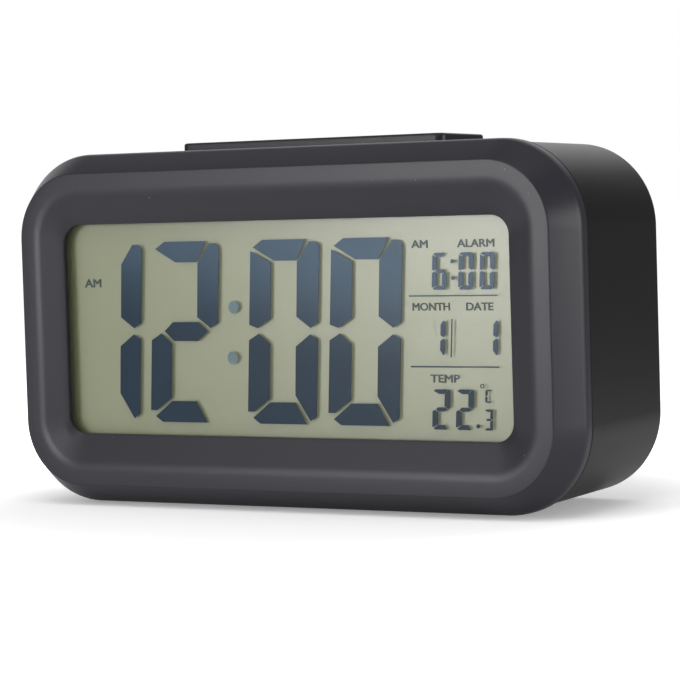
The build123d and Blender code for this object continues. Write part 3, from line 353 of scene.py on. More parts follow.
class Finish:
    """A material under way: its tree, Principled shader, coordinates and grain group."""

    def __init__(self, name, colour, roughness, fine=2600.0, broad=60.0, relief=0.004, shade=0.25, gloss=0.2):
        self.material = bpy.data.materials.new(name)
        self.material.use_nodes = True
        self.tree = self.material.node_tree
        self.shader = self.tree.nodes["Principled BSDF"]
        self.colour = tuple(colour)
        coords = self.tree.nodes.new("ShaderNodeTexCoord")
        self.place = coords.outputs["Object"]
        grain = self.tree.nodes.new("ShaderNodeGroup")
        grain.node_tree = bpy.data.node_groups.get("moulded grain") or make_grain_group()
        grain.inputs["Fine scale"].default_value = fine
        grain.inputs["Broad scale"].default_value = broad
        self.tree.links.new(self.place, grain.inputs["Vector"])
        self.grain = grain
        factor = math_node(self.tree, "MULTIPLY", grain.outputs["Shade"], shade)
        factor = math_node(self.tree, "ADD", factor, 1.0)
        tint = self.tree.nodes.new("ShaderNodeVectorMath")
        tint.operation = "SCALE"
        tint.inputs[0].default_value = self.colour
        self.tree.links.new(factor, tint.inputs["Scale"])
        self.tint = tint
        self.tree.links.new(tint.outputs[0], self.shader.inputs["Base Color"])
        rough = math_node(self.tree, "MULTIPLY", grain.outputs["Gloss"], gloss)
        rough = math_node(self.tree, "ADD", rough, roughness, clamp=True)
        self.tree.links.new(rough, self.shader.inputs["Roughness"])
        bump = add_node(self.tree, "ShaderNodeBump", Distance=relief * MM)
        self.tree.links.new(grain.outputs["Height"], bump.inputs["Height"])
        self.tree.links.new(bump.outputs["Normal"], self.shader.inputs["Normal"])
        self.bump = bump

    def set(self, **sockets):
        """Sets plain values on the shader's own sockets."""
        for name, value in sockets.items():
            self.shader.inputs[name.replace("_", " ")].default_value = value
        return self

    def axis(self, name):
        """One coordinate of the point being shaded, in metres."""
        split = self.tree.nodes.new("ShaderNodeSeparateXYZ")
        self.tree.links.new(self.place, split.inputs[0])
        return split.outputs[name]

    def ramp(self, value, low, high):
        """A value mapped smoothly from nought at low to one at high."""
        node = add_node(self.tree, "ShaderNodeMapRange", From_Min=low, From_Max=high)
        node.interpolation_type = "SMOOTHSTEP"
        self.tree.links.new(value, node.inputs["Value"])
        return node.outputs[0]

    def attribute(self, name):
        """A value that the piece's mesh carries at its points."""
        node = self.tree.nodes.new("ShaderNodeAttribute")
        node.attribute_name = name
        return node.outputs["Fac"]

    def between(self, value, low, high):
        """One where a value lies between two limits, else nought."""
        above = math_node(self.tree, "GREATER_THAN", value, low)
        return math_node(self.tree, "MULTIPLY", above, math_node(self.tree, "LESS_THAN", value, high))

    def dust(self, scale, size, colour):
        """Scatters a few specks of dust over the base colour."""
        specks = self.tree.nodes.new("ShaderNodeGroup")
        specks.node_tree = bpy.data.node_groups.get("dust specks") or make_dust_group()
        specks.inputs["Scale"].default_value = scale
        specks.inputs["Size"].default_value = size
        self.tree.links.new(self.place, specks.inputs["Vector"])
        return self.blend_colour(specks.outputs["Mask"], colour)

    def dull(self, mask, amount):
        """Adds to the roughness where the mask is one."""
        socket = self.shader.inputs["Roughness"]
        more = math_node(self.tree, "MULTIPLY", mask, amount)
        more = math_node(self.tree, "ADD", socket.links[0].from_socket, more, clamp=True)
        self.tree.links.new(more, socket)
        return self

    def blend_colour(self, mask, colour):
        """Mixes another colour into the base where the mask is one, keeping the grain's shade."""
        mix = self.tree.nodes.new("ShaderNodeMix")
        mix.data_type = "RGBA"
        mix.inputs[7].default_value = (*colour, 1.0)
        before = self.tint.inputs[0]
        if before.is_linked:
            self.tree.links.new(before.links[0].from_socket, mix.inputs[6])
        else:
            mix.inputs[6].default_value = (*self.colour, 1.0)
        self.tree.links.new(mask, mix.inputs[0])
        self.tree.links.new(mix.outputs[2], self.tint.inputs[0])
        return self


def finish_of(name, *args, **kwargs):
    """The material of that name, made at its first use."""
    known = bpy.data.materials.get(name)
    return known or Finish(name, *args, **kwargs).material


def moulding(name, colour, roughness=0.34, specular=0.27):
    """Satin moulded plastic: spark grain in the bump and faint cloudiness in shade and gloss."""
    made = Finish(name, colour, roughness, fine=2200.0, broad=45.0, relief=0.005, shade=0.16, gloss=0.14)
    made.dust(400.0, 0.06, (0.30, 0.30, 0.31))
    return made.set(Specular_IOR_Level=specular)


# Front bezel

BAND_DEPTH = 6.6
CREST_INSET = 4.1
SEAM_DEPTH = 9.2
BAND_ROUND = 3.0
CREST_ROUND = 0.4
RIM_INSET = 8.3
WINDOW_INSET_X = 13.9
WINDOW_INSET_Z = 15.05
WINDOW_DEPTH = 2.05
SEAT_DEPTH = 3.2
POCKET_INSET = 4.2
TONGUE_INSET = 3.1
TONGUE_END = 11.7
RIM_BLEND = 1.25
RIM_BLEND_DEPTH = 0.36
# Depths over which painted shade darkens the bezel's side towards the joint with the housing
SEAM_SHADE = (SEAM_DEPTH - 0.75, SEAM_DEPTH - 0.35)


def bezel_profile(sizes):
    """Rows of the bezel's closed profile as (half width, half height, corner, depth)."""
    lean = math.degrees(math.atan(CREST_INSET / BAND_DEPTH))
    back = BAND_ROUND * math.tan(math.radians(lean / 2))
    ease = CREST_ROUND * math.tan(math.radians((90 - lean) / 2))
    outer = np.concatenate(
        [
            [[0.12, SEAM_DEPTH], [0.0, SEAM_DEPTH - 0.12]],
            arc(BAND_ROUND, BAND_DEPTH + back, -BAND_ROUND, 0, lean, 10),
            arc(CREST_INSET + ease, CREST_ROUND, -CREST_ROUND, lean, 90, 6),
        ]
    )
    rows = [(sizes.half_width - i, sizes.half_height - i, sizes.ring_corner - i, d) for i, d in outer]
    fall_x = (WINDOW_INSET_X - RIM_INSET) / WINDOW_DEPTH
    fall_z = (WINDOW_INSET_Z - RIM_INSET) / WINDOW_DEPTH
    corner = sizes.ring_corner - RIM_INSET
    corner_fall = (corner - sizes.window_corner) / WINDOW_DEPTH
    inner_x = bezier((RIM_INSET - RIM_BLEND, 0), (RIM_INSET, 0), (RIM_INSET + fall_x * RIM_BLEND_DEPTH, RIM_BLEND_DEPTH), 10)
    inner_z = bezier((RIM_INSET - RIM_BLEND, 0), (RIM_INSET, 0), (RIM_INSET + fall_z * RIM_BLEND_DEPTH, RIM_BLEND_DEPTH), 10)
    radius = bezier((corner + RIM_BLEND, 0), (corner, 0), (corner - corner_fall * RIM_BLEND_DEPTH, 0), 10)[:, 0]
    rows += [
        (sizes.half_width - x, sizes.half_height - z, r, d)
        for (x, d), (z, _), r in zip(inner_x, inner_z, radius)
    ]
    lip = 0.12
    for d in (0.8, 1.4, WINDOW_DEPTH - lip):
        left = WINDOW_DEPTH - d
        rows.append(
            (
                sizes.half_width - WINDOW_INSET_X + fall_x * left,
                sizes.half_height - WINDOW_INSET_Z + fall_z * left,
                sizes.window_corner + corner_fall * left,
                d,
            )
        )
    opening = (sizes.half_width - WINDOW_INSET_X, sizes.half_height - WINDOW_INSET_Z, sizes.window_corner)
    rows += [(*opening, WINDOW_DEPTH + lip), (*opening, SEAT_DEPTH)]
    for inset, depth in (
        (POCKET_INSET, SEAT_DEPTH),
        (POCKET_INSET, TONGUE_END),
        (TONGUE_INSET, TONGUE_END),
        (TONGUE_INSET, SEAM_DEPTH),
    ):
        rows.append((sizes.half_width - inset, sizes.half_height - inset, sizes.ring_corner - inset, depth))
    return np.array(rows)


class CLOCK_OT_bezel(bpy.types.Operator):
    """Carries the bezel's closed profile round a rounded rectangle, one ring for each profile point"""

    bl_idname = "clock.bezel"
    bl_label = "Front bezel"

    def execute(self, context):
        rows = bezel_profile(lengths(context))
        rings = rounded_rings(rows[:, 0], rows[:, 1], rows[:, 2])
        points = to_frame(rings[..., 0], rows[:, 3][:, None], rings[..., 1])
        piece = put_mesh("bezel", points, grid_faces(*points.shape[:2], close_rows=True))
        finish = moulding("bezel satin black", context.scene.clock_colours.bezel, 0.35)
        # Painted shade: the bezel's side is darkened nearly to black and dulled over its last depth before the seam,
        # where the joint with the housing lies in shade
        seam_shade_mask = finish.ramp(finish.axis("Y"), *((d - CLOCK_DEPTH / 2) * MM for d in SEAM_SHADE))
        finish.blend_colour(seam_shade_mask, (0.002, 0.002, 0.002)).dull(seam_shade_mask, 0.5)
        settle(piece, "case", "bezel_plastic", finish.material, "front_bezel")
        return {"FINISHED"}


# Rear housing, door, keys


class CLOCK_OT_housing(bpy.types.Operator):
    """Dresses the rear housing and the battery door with merged, smooth copies of their solids"""

    bl_idname = "clock.housing"
    bl_label = "Rear housing and door"

    def execute(self, context):
        finish = moulding("housing satin black", context.scene.clock_colours.housing, 0.33, 0.145)
        for node, body in (("rear_housing", "case"), ("battery_door", "door")):
            settle(dressed_copy(node + "_shell", node), body, "housing_plastic", finish.material, node)
        return {"FINISHED"}


class CLOCK_OT_keys(bpy.types.Operator):
    """Dresses the rear buttons and the slide switch's knob with merged, smooth copies"""

    bl_idname = "clock.keys"
    bl_label = "Rear buttons and knob"

    def execute(self, context):
        finish = moulding("key satin black", context.scene.clock_colours.keys, 0.45).material
        for name in ("mode", "set", "up", "down"):
            settle(dressed_copy(name + "_key", name + "_button"), name, "button_plastic", finish, name + "_button")
        knob = dressed_copy("light_knob", "light_switch_knob")
        settle(knob, "light_switch", "button_plastic", finish, "light_switch_knob")
        return {"FINISHED"}


# Snooze bar

BAR_DEPTH = 25.4
TOP_DRAFT = 0.65
SHELL_TOP = 36.9
WALL = 2.2
BAR_FLANGE = 1.2
BAR_LIP = 1.6
BAR_SEAT_GAP = 0.05
BAR_CORNER = 2.0
BAR_ROUND = 0.55
BAR_CROWN = 0.12
BAR_STEM_RADIUS = 3.0
BAR_STEM_LENGTH = 2.0


def on_top(along, across, rise):
    """Points in the snooze bar's own axes: along it, across it to the back, above the sloping top."""
    slope = math.atan(TOP_DRAFT / (CLOCK_DEPTH - SEAM_DEPTH))
    top = SHELL_TOP - TOP_DRAFT * (BAR_DEPTH - SEAM_DEPTH) / (CLOCK_DEPTH - SEAM_DEPTH)
    depth = BAR_DEPTH + across * math.cos(slope) + rise * math.sin(slope)
    height = top - across * math.sin(slope) + rise * math.cos(slope)
    return to_frame(along, depth, height)


class CLOCK_OT_snooze_bar(bpy.types.Operator):
    """Stacks rounded rectangles up the bar: flange, sides, rounded top edge and a faint crown"""

    bl_idname = "clock.snooze_bar"
    bl_label = "Snooze bar"

    def execute(self, context):
        sizes = lengths(context)
        length, width, rise = sizes.bar_half_length, sizes.bar_half_width, sizes.bar_rise
        low = -WALL - BAR_FLANGE
        under = -WALL - BAR_SEAT_GAP
        rows = [(-BAR_LIP, low), (-BAR_LIP, under), (0.0, under), (0.0, 0.0)]
        edge = arc(BAR_ROUND, rise - BAR_CROWN - BAR_ROUND, BAR_ROUND, 180, 90, 8)
        rows += [tuple(p) for p in edge]
        share = np.linspace(0, 1, 7)[1:]
        span = width - BAR_ROUND - 0.4
        rows += [(BAR_ROUND + span * s, rise - BAR_CROWN * (1 - s) ** 2) for s in share]
        inset, level = np.array(rows).T
        radius = np.maximum(BAR_CORNER - inset, 0.2)
        rings = rounded_rings(length - inset, width - inset, radius)
        points = on_top(rings[..., 0], rings[..., 1], level[:, None])
        stem = [(BAR_STEM_RADIUS, low - BAR_STEM_LENGTH), (BAR_STEM_RADIUS, low)]
        stem_points, stem_faces = turned(stem, (0, 0, 0), (0, 0, 1), (1, 0, 0))
        stem_points = on_top(stem_points[..., 0], stem_points[..., 1], stem_points[..., 2])
        parts = [(points, capped(*points.shape[:2])), (stem_points, stem_faces)]
        piece = put_mesh("snooze_bar_cap", *joined(parts))
        finish = moulding("bar satin black", context.scene.clock_colours.bar, 0.34).material
        settle(piece, "snooze", "bar_plastic", finish, "snooze_bar")
        return {"FINISHED"}


# Display

PANEL_GAP = 0.03
COLON_X = -12.375
COLON_DOTS = (4.5, -6.1)
COLON_SLANT = 0.054
COLON_REACH = 1.6
SEGMENT_DEPTH = 4.1
# Heights and sideways lean of the ramp along which the painted sheen lightens the segments
SEGMENT_SHEEN_RAMP = (-6.0, 18.0)
SEGMENT_SHEEN_LEAN = 0.18
SHADOW_PASSED = 0.72
SLANT_POWER = 5.0
LEGEND_DEPTH = 4.84
LEGEND_THICKNESS = 0.06
LEGENDS = (
    ("AM", -50.85, -46.45, 8.9, 10.7),
    ("AM", 30.55, 34.35, 16.1, 17.7),
    ("ALARM", 41.05, 49.45, 16.1, 17.7),
    ("MONTH", 30.45, 39.05, 3.5, 5.1),
    ("DATE", 42.75, 48.85, 3.5, 5.1),
    ("TEMP", 34.15, 40.85, -10.9, -9.3),
)


def segment_finish(colours):
    """Blue grey dye with paler colon dots, lightened towards the upper right by a painted sheen; only a thin shadow
    falls through it.
    """
    made = Finish("segment dye", colours.segment, 0.31, fine=900.0, broad=120.0, relief=0.0, shade=0.2, gloss=0.05)
    made.set(Specular_IOR_Level=0.18)
    # Painted sheen: the segments' colour lightens along a ramp up and to the right
    leaning = math_node(made.tree, "MULTIPLY", made.axis("X"), SEGMENT_SHEEN_LEAN)
    rise = math_node(made.tree, "ADD", made.axis("Z"), leaning)
    made.blend_colour(made.ramp(rise, *((MID_Z + z) * MM for z in SEGMENT_SHEEN_RAMP)), colours.segment_sheen)
    nearest = None
    for height in COLON_DOTS:
        centre = Vector(to_frame(COLON_X + COLON_SLANT * height, SEGMENT_DEPTH, height))
        gap = made.tree.nodes.new("ShaderNodeVectorMath")
        gap.operation = "DISTANCE"
        gap.inputs[1].default_value = centre
        made.tree.links.new(made.place, gap.inputs[0])
        distance = gap.outputs["Value"]
        nearest = distance if nearest is None else math_node(made.tree, "MINIMUM", nearest, distance)
    made.blend_colour(math_node(made.tree, "LESS_THAN", nearest, COLON_REACH * MM), colours.colon)
    path = made.tree.nodes.new("ShaderNodeLightPath")
    passed = math_node(made.tree, "MULTIPLY", path.outputs["Is Shadow Ray"], SHADOW_PASSED)
    made.tree.links.new(math_node(made.tree, "SUBTRACT", 1.0, passed), made.shader.inputs["Alpha"])
    return made.material


def film_finish(colours):
    """Clear panel: nothing of its own from the front, a fine sheen where it is seen at a slant."""
    made = Finish("polarizer film", colours.film, 0.30, fine=4000.0, broad=80.0, relief=0.0, shade=0.1, gloss=0.08)
    facing = made.tree.nodes.new("ShaderNodeLayerWeight").outputs["Facing"]
    made.tree.links.new(math_node(made.tree, "POWER", facing, SLANT_POWER), made.shader.inputs["Alpha"])
    return made.set(Specular_IOR_Level=0.5).material


class CLOCK_OT_display(bpy.types.Operator):
    """Gives the display's films, glass, segments and ground their finishes"""

    bl_idname = "clock.display"
    bl_label = "Display"

    def execute(self, context):
        colours = context.scene.clock_colours
        ground = Finish("reflector grey green", colours.ground, 0.30, fine=1400.0, broad=25.0, relief=0.0, shade=0.06, gloss=0.05)
        ground.set(Specular_IOR_Level=0.74)
        dress("lcd_reflector", ground.material)
        dress("lcd_segments", segment_finish(colours))
        panel = put_mesh("display_panel", *panel_shell())
        nodes = ("lcd_front_polarizer", "lcd_front_glass", "lcd_rear_glass")
        settle(panel, "case", "polarizer_film", film_finish(colours), *nodes)
        return {"FINISHED"}


def panel_shell():
    """The laminated panel: rectangles stepped back from the film's face to the glass's ledge and rear face."""
    film, front, rear = (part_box(n) for n in ("lcd_front_polarizer", "lcd_front_glass", "lcd_rear_glass"))
    steps = (
        (film, film[0].y),
        (film, film[1].y),
        (front, front[0].y),
        (front, front[1].y),
        (rear, front[1].y),
        (rear, rear[1].y - PANEL_GAP * MM),
    )
    rows = []
    for (low, high), y in steps:
        rows.append([(low.x, y, low.z), (high.x, y, low.z), (high.x, y, high.z), (low.x, y, high.z)])
    return np.array(rows), capped(len(rows), 4)


def dress(node, finish):
    """Puts a finish on a carried-over solid."""
    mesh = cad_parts[node].data
    mesh.materials.clear()
    mesh.materials.append(finish)


def letters(text, left, right, low, high, depth, thickness, facing, bold=0.0):
    """Mesh of a word filling a box of the front (facing 1) or the back (facing -1), standing thickness proud."""
    curve = bpy.data.curves.new("letters", "FONT")
    curve.body = text
    curve.extrude = 0.5
    curve.bevel_depth = bold
    curve.bevel_resolution = 0
    curve.resolution_u = 6
    maker = bpy.data.objects.new("letters", curve)
    bpy.context.scene.collection.objects.link(maker)
    bpy.context.view_layer.update()
    mesh = bpy.data.meshes.new_from_object(maker.evaluated_get(bpy.context.evaluated_depsgraph_get()))
    bpy.data.objects.remove(maker)
    bpy.data.curves.remove(curve)
    flat = np.empty(len(mesh.vertices) * 3)
    mesh.vertices.foreach_get("co", flat)
    flat = flat.reshape(-1, 3)
    faces = [tuple(p.vertices) for p in mesh.polygons]
    bpy.data.meshes.remove(mesh)
    low_corner, high_corner = flat.min(0), flat.max(0)
    share = (flat - low_corner) / (high_corner - low_corner)
    across = left + share[:, 0] * (right - left) if facing > 0 else right - share[:, 0] * (right - left)
    points = to_frame(across, depth - facing * share[:, 2] * thickness, low + share[:, 1] * (high - low))
    return points, faces


class CLOCK_OT_legends(bpy.types.Operator):
    """Sets the display's small words, each stretched to its box, just in front of the ground"""

    bl_idname = "clock.legends"
    bl_label = "Display legends"

    def execute(self, context):
        words = [letters(*legend, LEGEND_DEPTH, LEGEND_THICKNESS, 1, 0.02) for legend in LEGENDS]
        piece = put_mesh("display_legends", *joined(words), weld=1e-7)
        finish = Finish("legend dye", context.scene.clock_colours.legend, 0.32, broad=120.0, relief=0.0, gloss=0.05)
        settle(piece, "case", "segment_dye", finish.set(Specular_IOR_Level=0.25).material)
        return {"FINISHED"}


# Feet, cells, springs


class CLOCK_OT_feet(bpy.types.Operator):
    """Turns each rubber foot: a flat top, a straight side, a rounded lower edge and a shallow dished sole"""

    bl_idname = "clock.feet"
    bl_label = "Rubber feet"

    def execute(self, context):
        low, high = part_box("rubber_feet")
        radius, height = lengths(context).foot_radius, (high.z - low.z) / MM
        ease = 0.4
        profile = np.concatenate(
            [
                [[radius * 0.55, 0.10], [radius * 0.8, 0.0]],
                arc(radius - ease, ease, ease, -90, 0, 6),
                [[radius, height - 0.1], [radius - 0.1, height]],
            ]
        )
        parts = []
        for x in (low.x / MM + radius, high.x / MM - radius):
            for y in (low.y / MM + radius, high.y / MM - radius):
                points, faces = turned(profile, (x, y, 0), (0, 0, 1), (1, 0, 0), 40)
                parts.append((points * MM, faces))
        finish = finish_of("foot rubber", (0.022, 0.022, 0.022), 0.75, fine=1500.0, relief=0.01)
        settle(put_mesh("feet", *joined(parts)), "case", "black_rubber", finish, "rubber_feet")
        return {"FINISHED"}


CELL_DEPTH = 37.5
CELL_ROWS = ((0.3, 1), (-11.0, -1), (-22.3, 1))
CELL_LENGTH = 44.5
CONTACT_X = 24.75
NUB_RADIUS = 1.9
NUB_LENGTH = 0.8
NUB_ROUND = 0.25
CELL_ROUND = 0.5
SLEEVE_LAP = 0.9
SLEEVE_STEP = 0.12
CELL_STEPS = 64


def cell_profile(radius):
    """Half section of a cell as (radius, distance from its nub's tip): nub, shoulder, side and grooved base."""
    lap = radius - SLEEVE_LAP
    return np.concatenate(
        [
            arc(NUB_RADIUS - NUB_ROUND, NUB_ROUND, NUB_ROUND, -90, 0, 4),
            [[NUB_RADIUS, NUB_LENGTH + SLEEVE_STEP], [lap - 0.05, NUB_LENGTH + SLEEVE_STEP], [lap, NUB_LENGTH]],
            arc(radius - CELL_ROUND, NUB_LENGTH + CELL_ROUND, CELL_ROUND, -90, 0, 6),
            arc(radius - CELL_ROUND, CELL_LENGTH - CELL_ROUND, CELL_ROUND, 0, 90, 6),
            [[lap, CELL_LENGTH], [lap - 0.05, CELL_LENGTH - SLEEVE_STEP]],
            [[lap - 0.3, CELL_LENGTH - SLEEVE_STEP], [lap - 0.4, CELL_LENGTH]],
        ]
    )


def sleeve_finish(colours, radius):
    """Grey sleeve with a dark band, a pale ring and polarity marks, and bare metal inside its two ends."""
    made = Finish("cell sleeve", colours.sleeve, 0.32, fine=1200.0, broad=60.0, relief=0.003)
    along, around, out = (made.attribute(name) for name in ("along", "around", "out"))
    made.blend_colour(made.between(along, 0.0, 13.0), colours.band)
    pale = made.between(along, 13.0, 13.7)
    for place, marks in ((6.0, ((0.3, 1.4), (1.4, 0.3))), (40.0, ((0.3, 1.4),))):
        for reach, width in marks:
            bar = made.between(along, place - reach, place + reach)
            bar = math_node(made.tree, "MULTIPLY", bar, made.between(around, -width, width))
            pale = math_node(made.tree, "MAXIMUM", pale, bar)
    made.blend_colour(pale, colours.print)
    metal = math_node(made.tree, "LESS_THAN", out, radius - SLEEVE_LAP - 0.02)
    made.blend_colour(metal, (0.56, 0.56, 0.57))
    made.tree.links.new(metal, made.shader.inputs["Metallic"])
    return made.material


class CLOCK_OT_cells(bpy.types.Operator):
    """Turns each cell's half section about its own axis, nub to the right or left in turn"""

    bl_idname = "clock.cells"
    bl_label = "Battery cells"

    def execute(self, context):
        radius = lengths(context).cell_radius
        profile = cell_profile(radius)
        parts = []
        for row, sign in CELL_ROWS:
            points, faces = turned(profile, (sign * CONTACT_X, CELL_DEPTH, row), (-sign, 0, 0), (0, 1, 0), CELL_STEPS)
            parts.append((to_frame(points[..., 0], points[..., 1], points[..., 2]), faces))
        piece = put_mesh("cells", *joined(parts))
        angle = np.linspace(-math.pi, math.pi, CELL_STEPS, endpoint=False)
        values = {
            "along": np.repeat(profile[:, 1], CELL_STEPS),
            "out": np.repeat(profile[:, 0], CELL_STEPS),
            "around": np.outer(profile[:, 0], angle).ravel(),
        }
        for name, value in values.items():
            data = piece.data.attributes.new(name, "FLOAT", "POINT").data
            data.foreach_set("value", np.tile(value, len(CELL_ROWS)).astype(np.float32))
        finish = sleeve_finish(context.scene.clock_colours, radius)
        settle(piece, "case", "cell_sleeve", finish, "aaa_cells")
        return {"FINISHED"}


SPRING_LENGTH = 5.0
SPRING_BASE = 3.6
SPRING_TIP = 2.6
SPRING_TURNS = 4.0
SPRING_STEPS = 180
WIRE_STEPS = 10


def spring_tube(wire):
    """A round wire carried up a cone's helix with flat end turns: distance along, then across two axes."""
    share = np.linspace(0, 1, SPRING_STEPS)
    flat = 0.5 / SPRING_TURNS
    climb = np.clip((share - flat) / (1 - 2 * flat), 0, 1)
    climb = climb**2 * (3 - 2 * climb)
    angle = 2 * math.pi * SPRING_TURNS * share
    along = wire + (SPRING_LENGTH - 2 * wire) * climb
    radius = SPRING_BASE - wire - (SPRING_BASE - SPRING_TIP) * climb
    out = np.stack([np.zeros_like(angle), np.cos(angle), np.sin(angle)], axis=-1)
    line = radius[:, None] * out
    line[:, 0] = along
    ahead = np.gradient(line, axis=0)
    side = np.cross(ahead / np.linalg.norm(ahead, axis=1, keepdims=True), out)
    turn = np.linspace(0, 2 * math.pi, WIRE_STEPS, endpoint=False)[None, :, None]
    return line[:, None] + wire * (np.cos(turn) * out[:, None] + np.sin(turn) * side[:, None])


class CLOCK_OT_springs(bpy.types.Operator):
    """Winds the battery springs from their plates to the cells' flat ends"""

    bl_idname = "clock.springs"
    bl_label = "Battery springs"

    def execute(self, context):
        tube = spring_tube(lengths(context).wire_radius)
        parts = []
        for row, sign in CELL_ROWS:
            points = to_frame(sign * (tube[..., 0] - CONTACT_X), CELL_DEPTH + tube[..., 1], row + tube[..., 2])
            parts.append((points, capped(SPRING_STEPS, WIRE_STEPS)))
        settle(put_mesh("springs", *joined(parts)), "case", "plain_steel", steel_finish(), "battery_springs")
        return {"FINISHED"}


SCREW_SPOTS = ((-59.6, -24.0), (-59.6, 24.0), (59.6, -24.0), (59.6, 24.0))
SCREW_SEAT = 28.5
HEAD_RADIUS = 2.8
HEAD_HEIGHT = 2.0
HEAD_CROWN = 0.5
SHANK_RADIUS = 1.3
SHANK_LENGTH = 16.0
CROSS_HALF_WIDTH = 0.16
CROSS_REACH = 0.62
CROSS_DEPTH = 1.1


def cross_head_screw():
    """A square grid bent to a disc, crowned, with a cross let into it, then the head's side and the shank.

    Points are (across, distance from the head's seat, up); a grid point (u, v) goes to
    (u * sqrt(1 - v * v / 2), v * sqrt(1 - u * u / 2)) of the disc.
    """
    half = np.array([0.08, 0.15, 0.17, 0.3, 0.45, 0.61, 0.63, 0.75, 0.87, 0.95, 1.0])
    lines = np.concatenate([-half[::-1], [0.0], half])
    u, v = np.meshgrid(lines, lines, indexing="ij")
    x, z = u * np.sqrt(1 - v**2 / 2), v * np.sqrt(1 - u**2 / 2)
    out = np.hypot(x, z)
    level = HEAD_HEIGHT - HEAD_CROWN * out**3
    arm = (np.abs(u) < CROSS_HALF_WIDTH) & (np.abs(v) < CROSS_REACH)
    arm |= (np.abs(v) < CROSS_HALF_WIDTH) & (np.abs(u) < CROSS_REACH)
    level = level - arm * CROSS_DEPTH * (1 - 0.4 * out)
    top = np.stack([x * HEAD_RADIUS, level, z * HEAD_RADIUS], axis=-1)
    count = len(lines)
    edge = np.concatenate([top[0, :], top[1:, -1], top[-1, -2::-1], top[-2:0:-1, 0]])
    side = edge[:, [0, 2]] / HEAD_RADIUS
    rows = [edge]
    for radius, low in (
        (HEAD_RADIUS, 0.0),
        (SHANK_RADIUS, 0.0),
        (SHANK_RADIUS, 1.0 - SHANK_LENGTH),
        (SHANK_RADIUS / 3, -SHANK_LENGTH),
    ):
        rows.append(np.stack([side[:, 0] * radius, np.full(len(side), low), side[:, 1] * radius], axis=-1))
    wall = np.array(rows)
    last = (len(rows) - 1) * len(edge)
    wall_faces = grid_faces(len(rows), len(edge)).tolist() + [list(range(last, last + len(edge)))]
    return joined([(top, grid_faces(count, count, close_columns=False).tolist()), (wall, wall_faces)])


class CLOCK_OT_screws(bpy.types.Operator):
    """Sets a cross-headed screw in each of the housing's four deep holes"""

    bl_idname = "clock.screws"
    bl_label = "Housing screws"

    def execute(self, context):
        points, faces = cross_head_screw()
        parts = [(to_frame(x + points[:, 0], SCREW_SEAT + points[:, 1], z + points[:, 2]), faces) for x, z in SCREW_SPOTS]
        piece = put_mesh("screws", *joined(parts), weld=1e-7)
        settle(piece, "case", "plain_steel", steel_finish(), "housing_screws")
        return {"FINISHED"}


# Rear lettering

RECESS_FLOOR = 43.8
PRINT_SINK = 0.02
PRINT_RISE = 0.03
REAR_WORDS = (
    ("MODE", 32.85, 5.2, 14.7),
    ("SET", 16.55, 3.7, 14.7),
    ("UP", 0.25, 2.4, 14.7),
    ("DOWN", -16.05, 5.5, 14.7),
    ("ON", -30.3, 2.7, 14.7),
    ("OFF", -35.0, 3.6, 14.7),
    ("LIGHT", -32.6, 5.2, 23.8),
)
REAR_WORD_HEIGHT = 1.5


class CLOCK_OT_rear_legends(bpy.types.Operator):
    """Prints the rear buttons' and the switch's words on the floor of their recess"""

    bl_idname = "clock.rear_legends"
    bl_label = "Rear legends"

    def execute(self, context):
        words = []
        for word, x, width, low in REAR_WORDS:
            box = (x - width / 2, x + width / 2, low, low + REAR_WORD_HEIGHT)
            words.append(letters(word, *box, RECESS_FLOOR - PRINT_SINK, PRINT_SINK + PRINT_RISE, -1, 0.01))
        piece = put_mesh("rear_legends", *joined(words), weld=1e-7)
        finish = Finish("pale print", context.scene.clock_colours.print, 0.55, fine=2600.0, relief=0.002, shade=0.3)
        settle(piece, "case", "housing_plastic", finish.material)
        return {"FINISHED"}


# Carried-over solids


def steel_finish():
    """Drawn steel, made at its first use."""
    steel = finish_of("plain steel", (0.55, 0.55, 0.56), 0.32, fine=3000.0, broad=120.0, relief=0.003, shade=0.12)
    steel.node_tree.nodes["Principled BSDF"].inputs["Metallic"].default_value = 1.0
    return steel


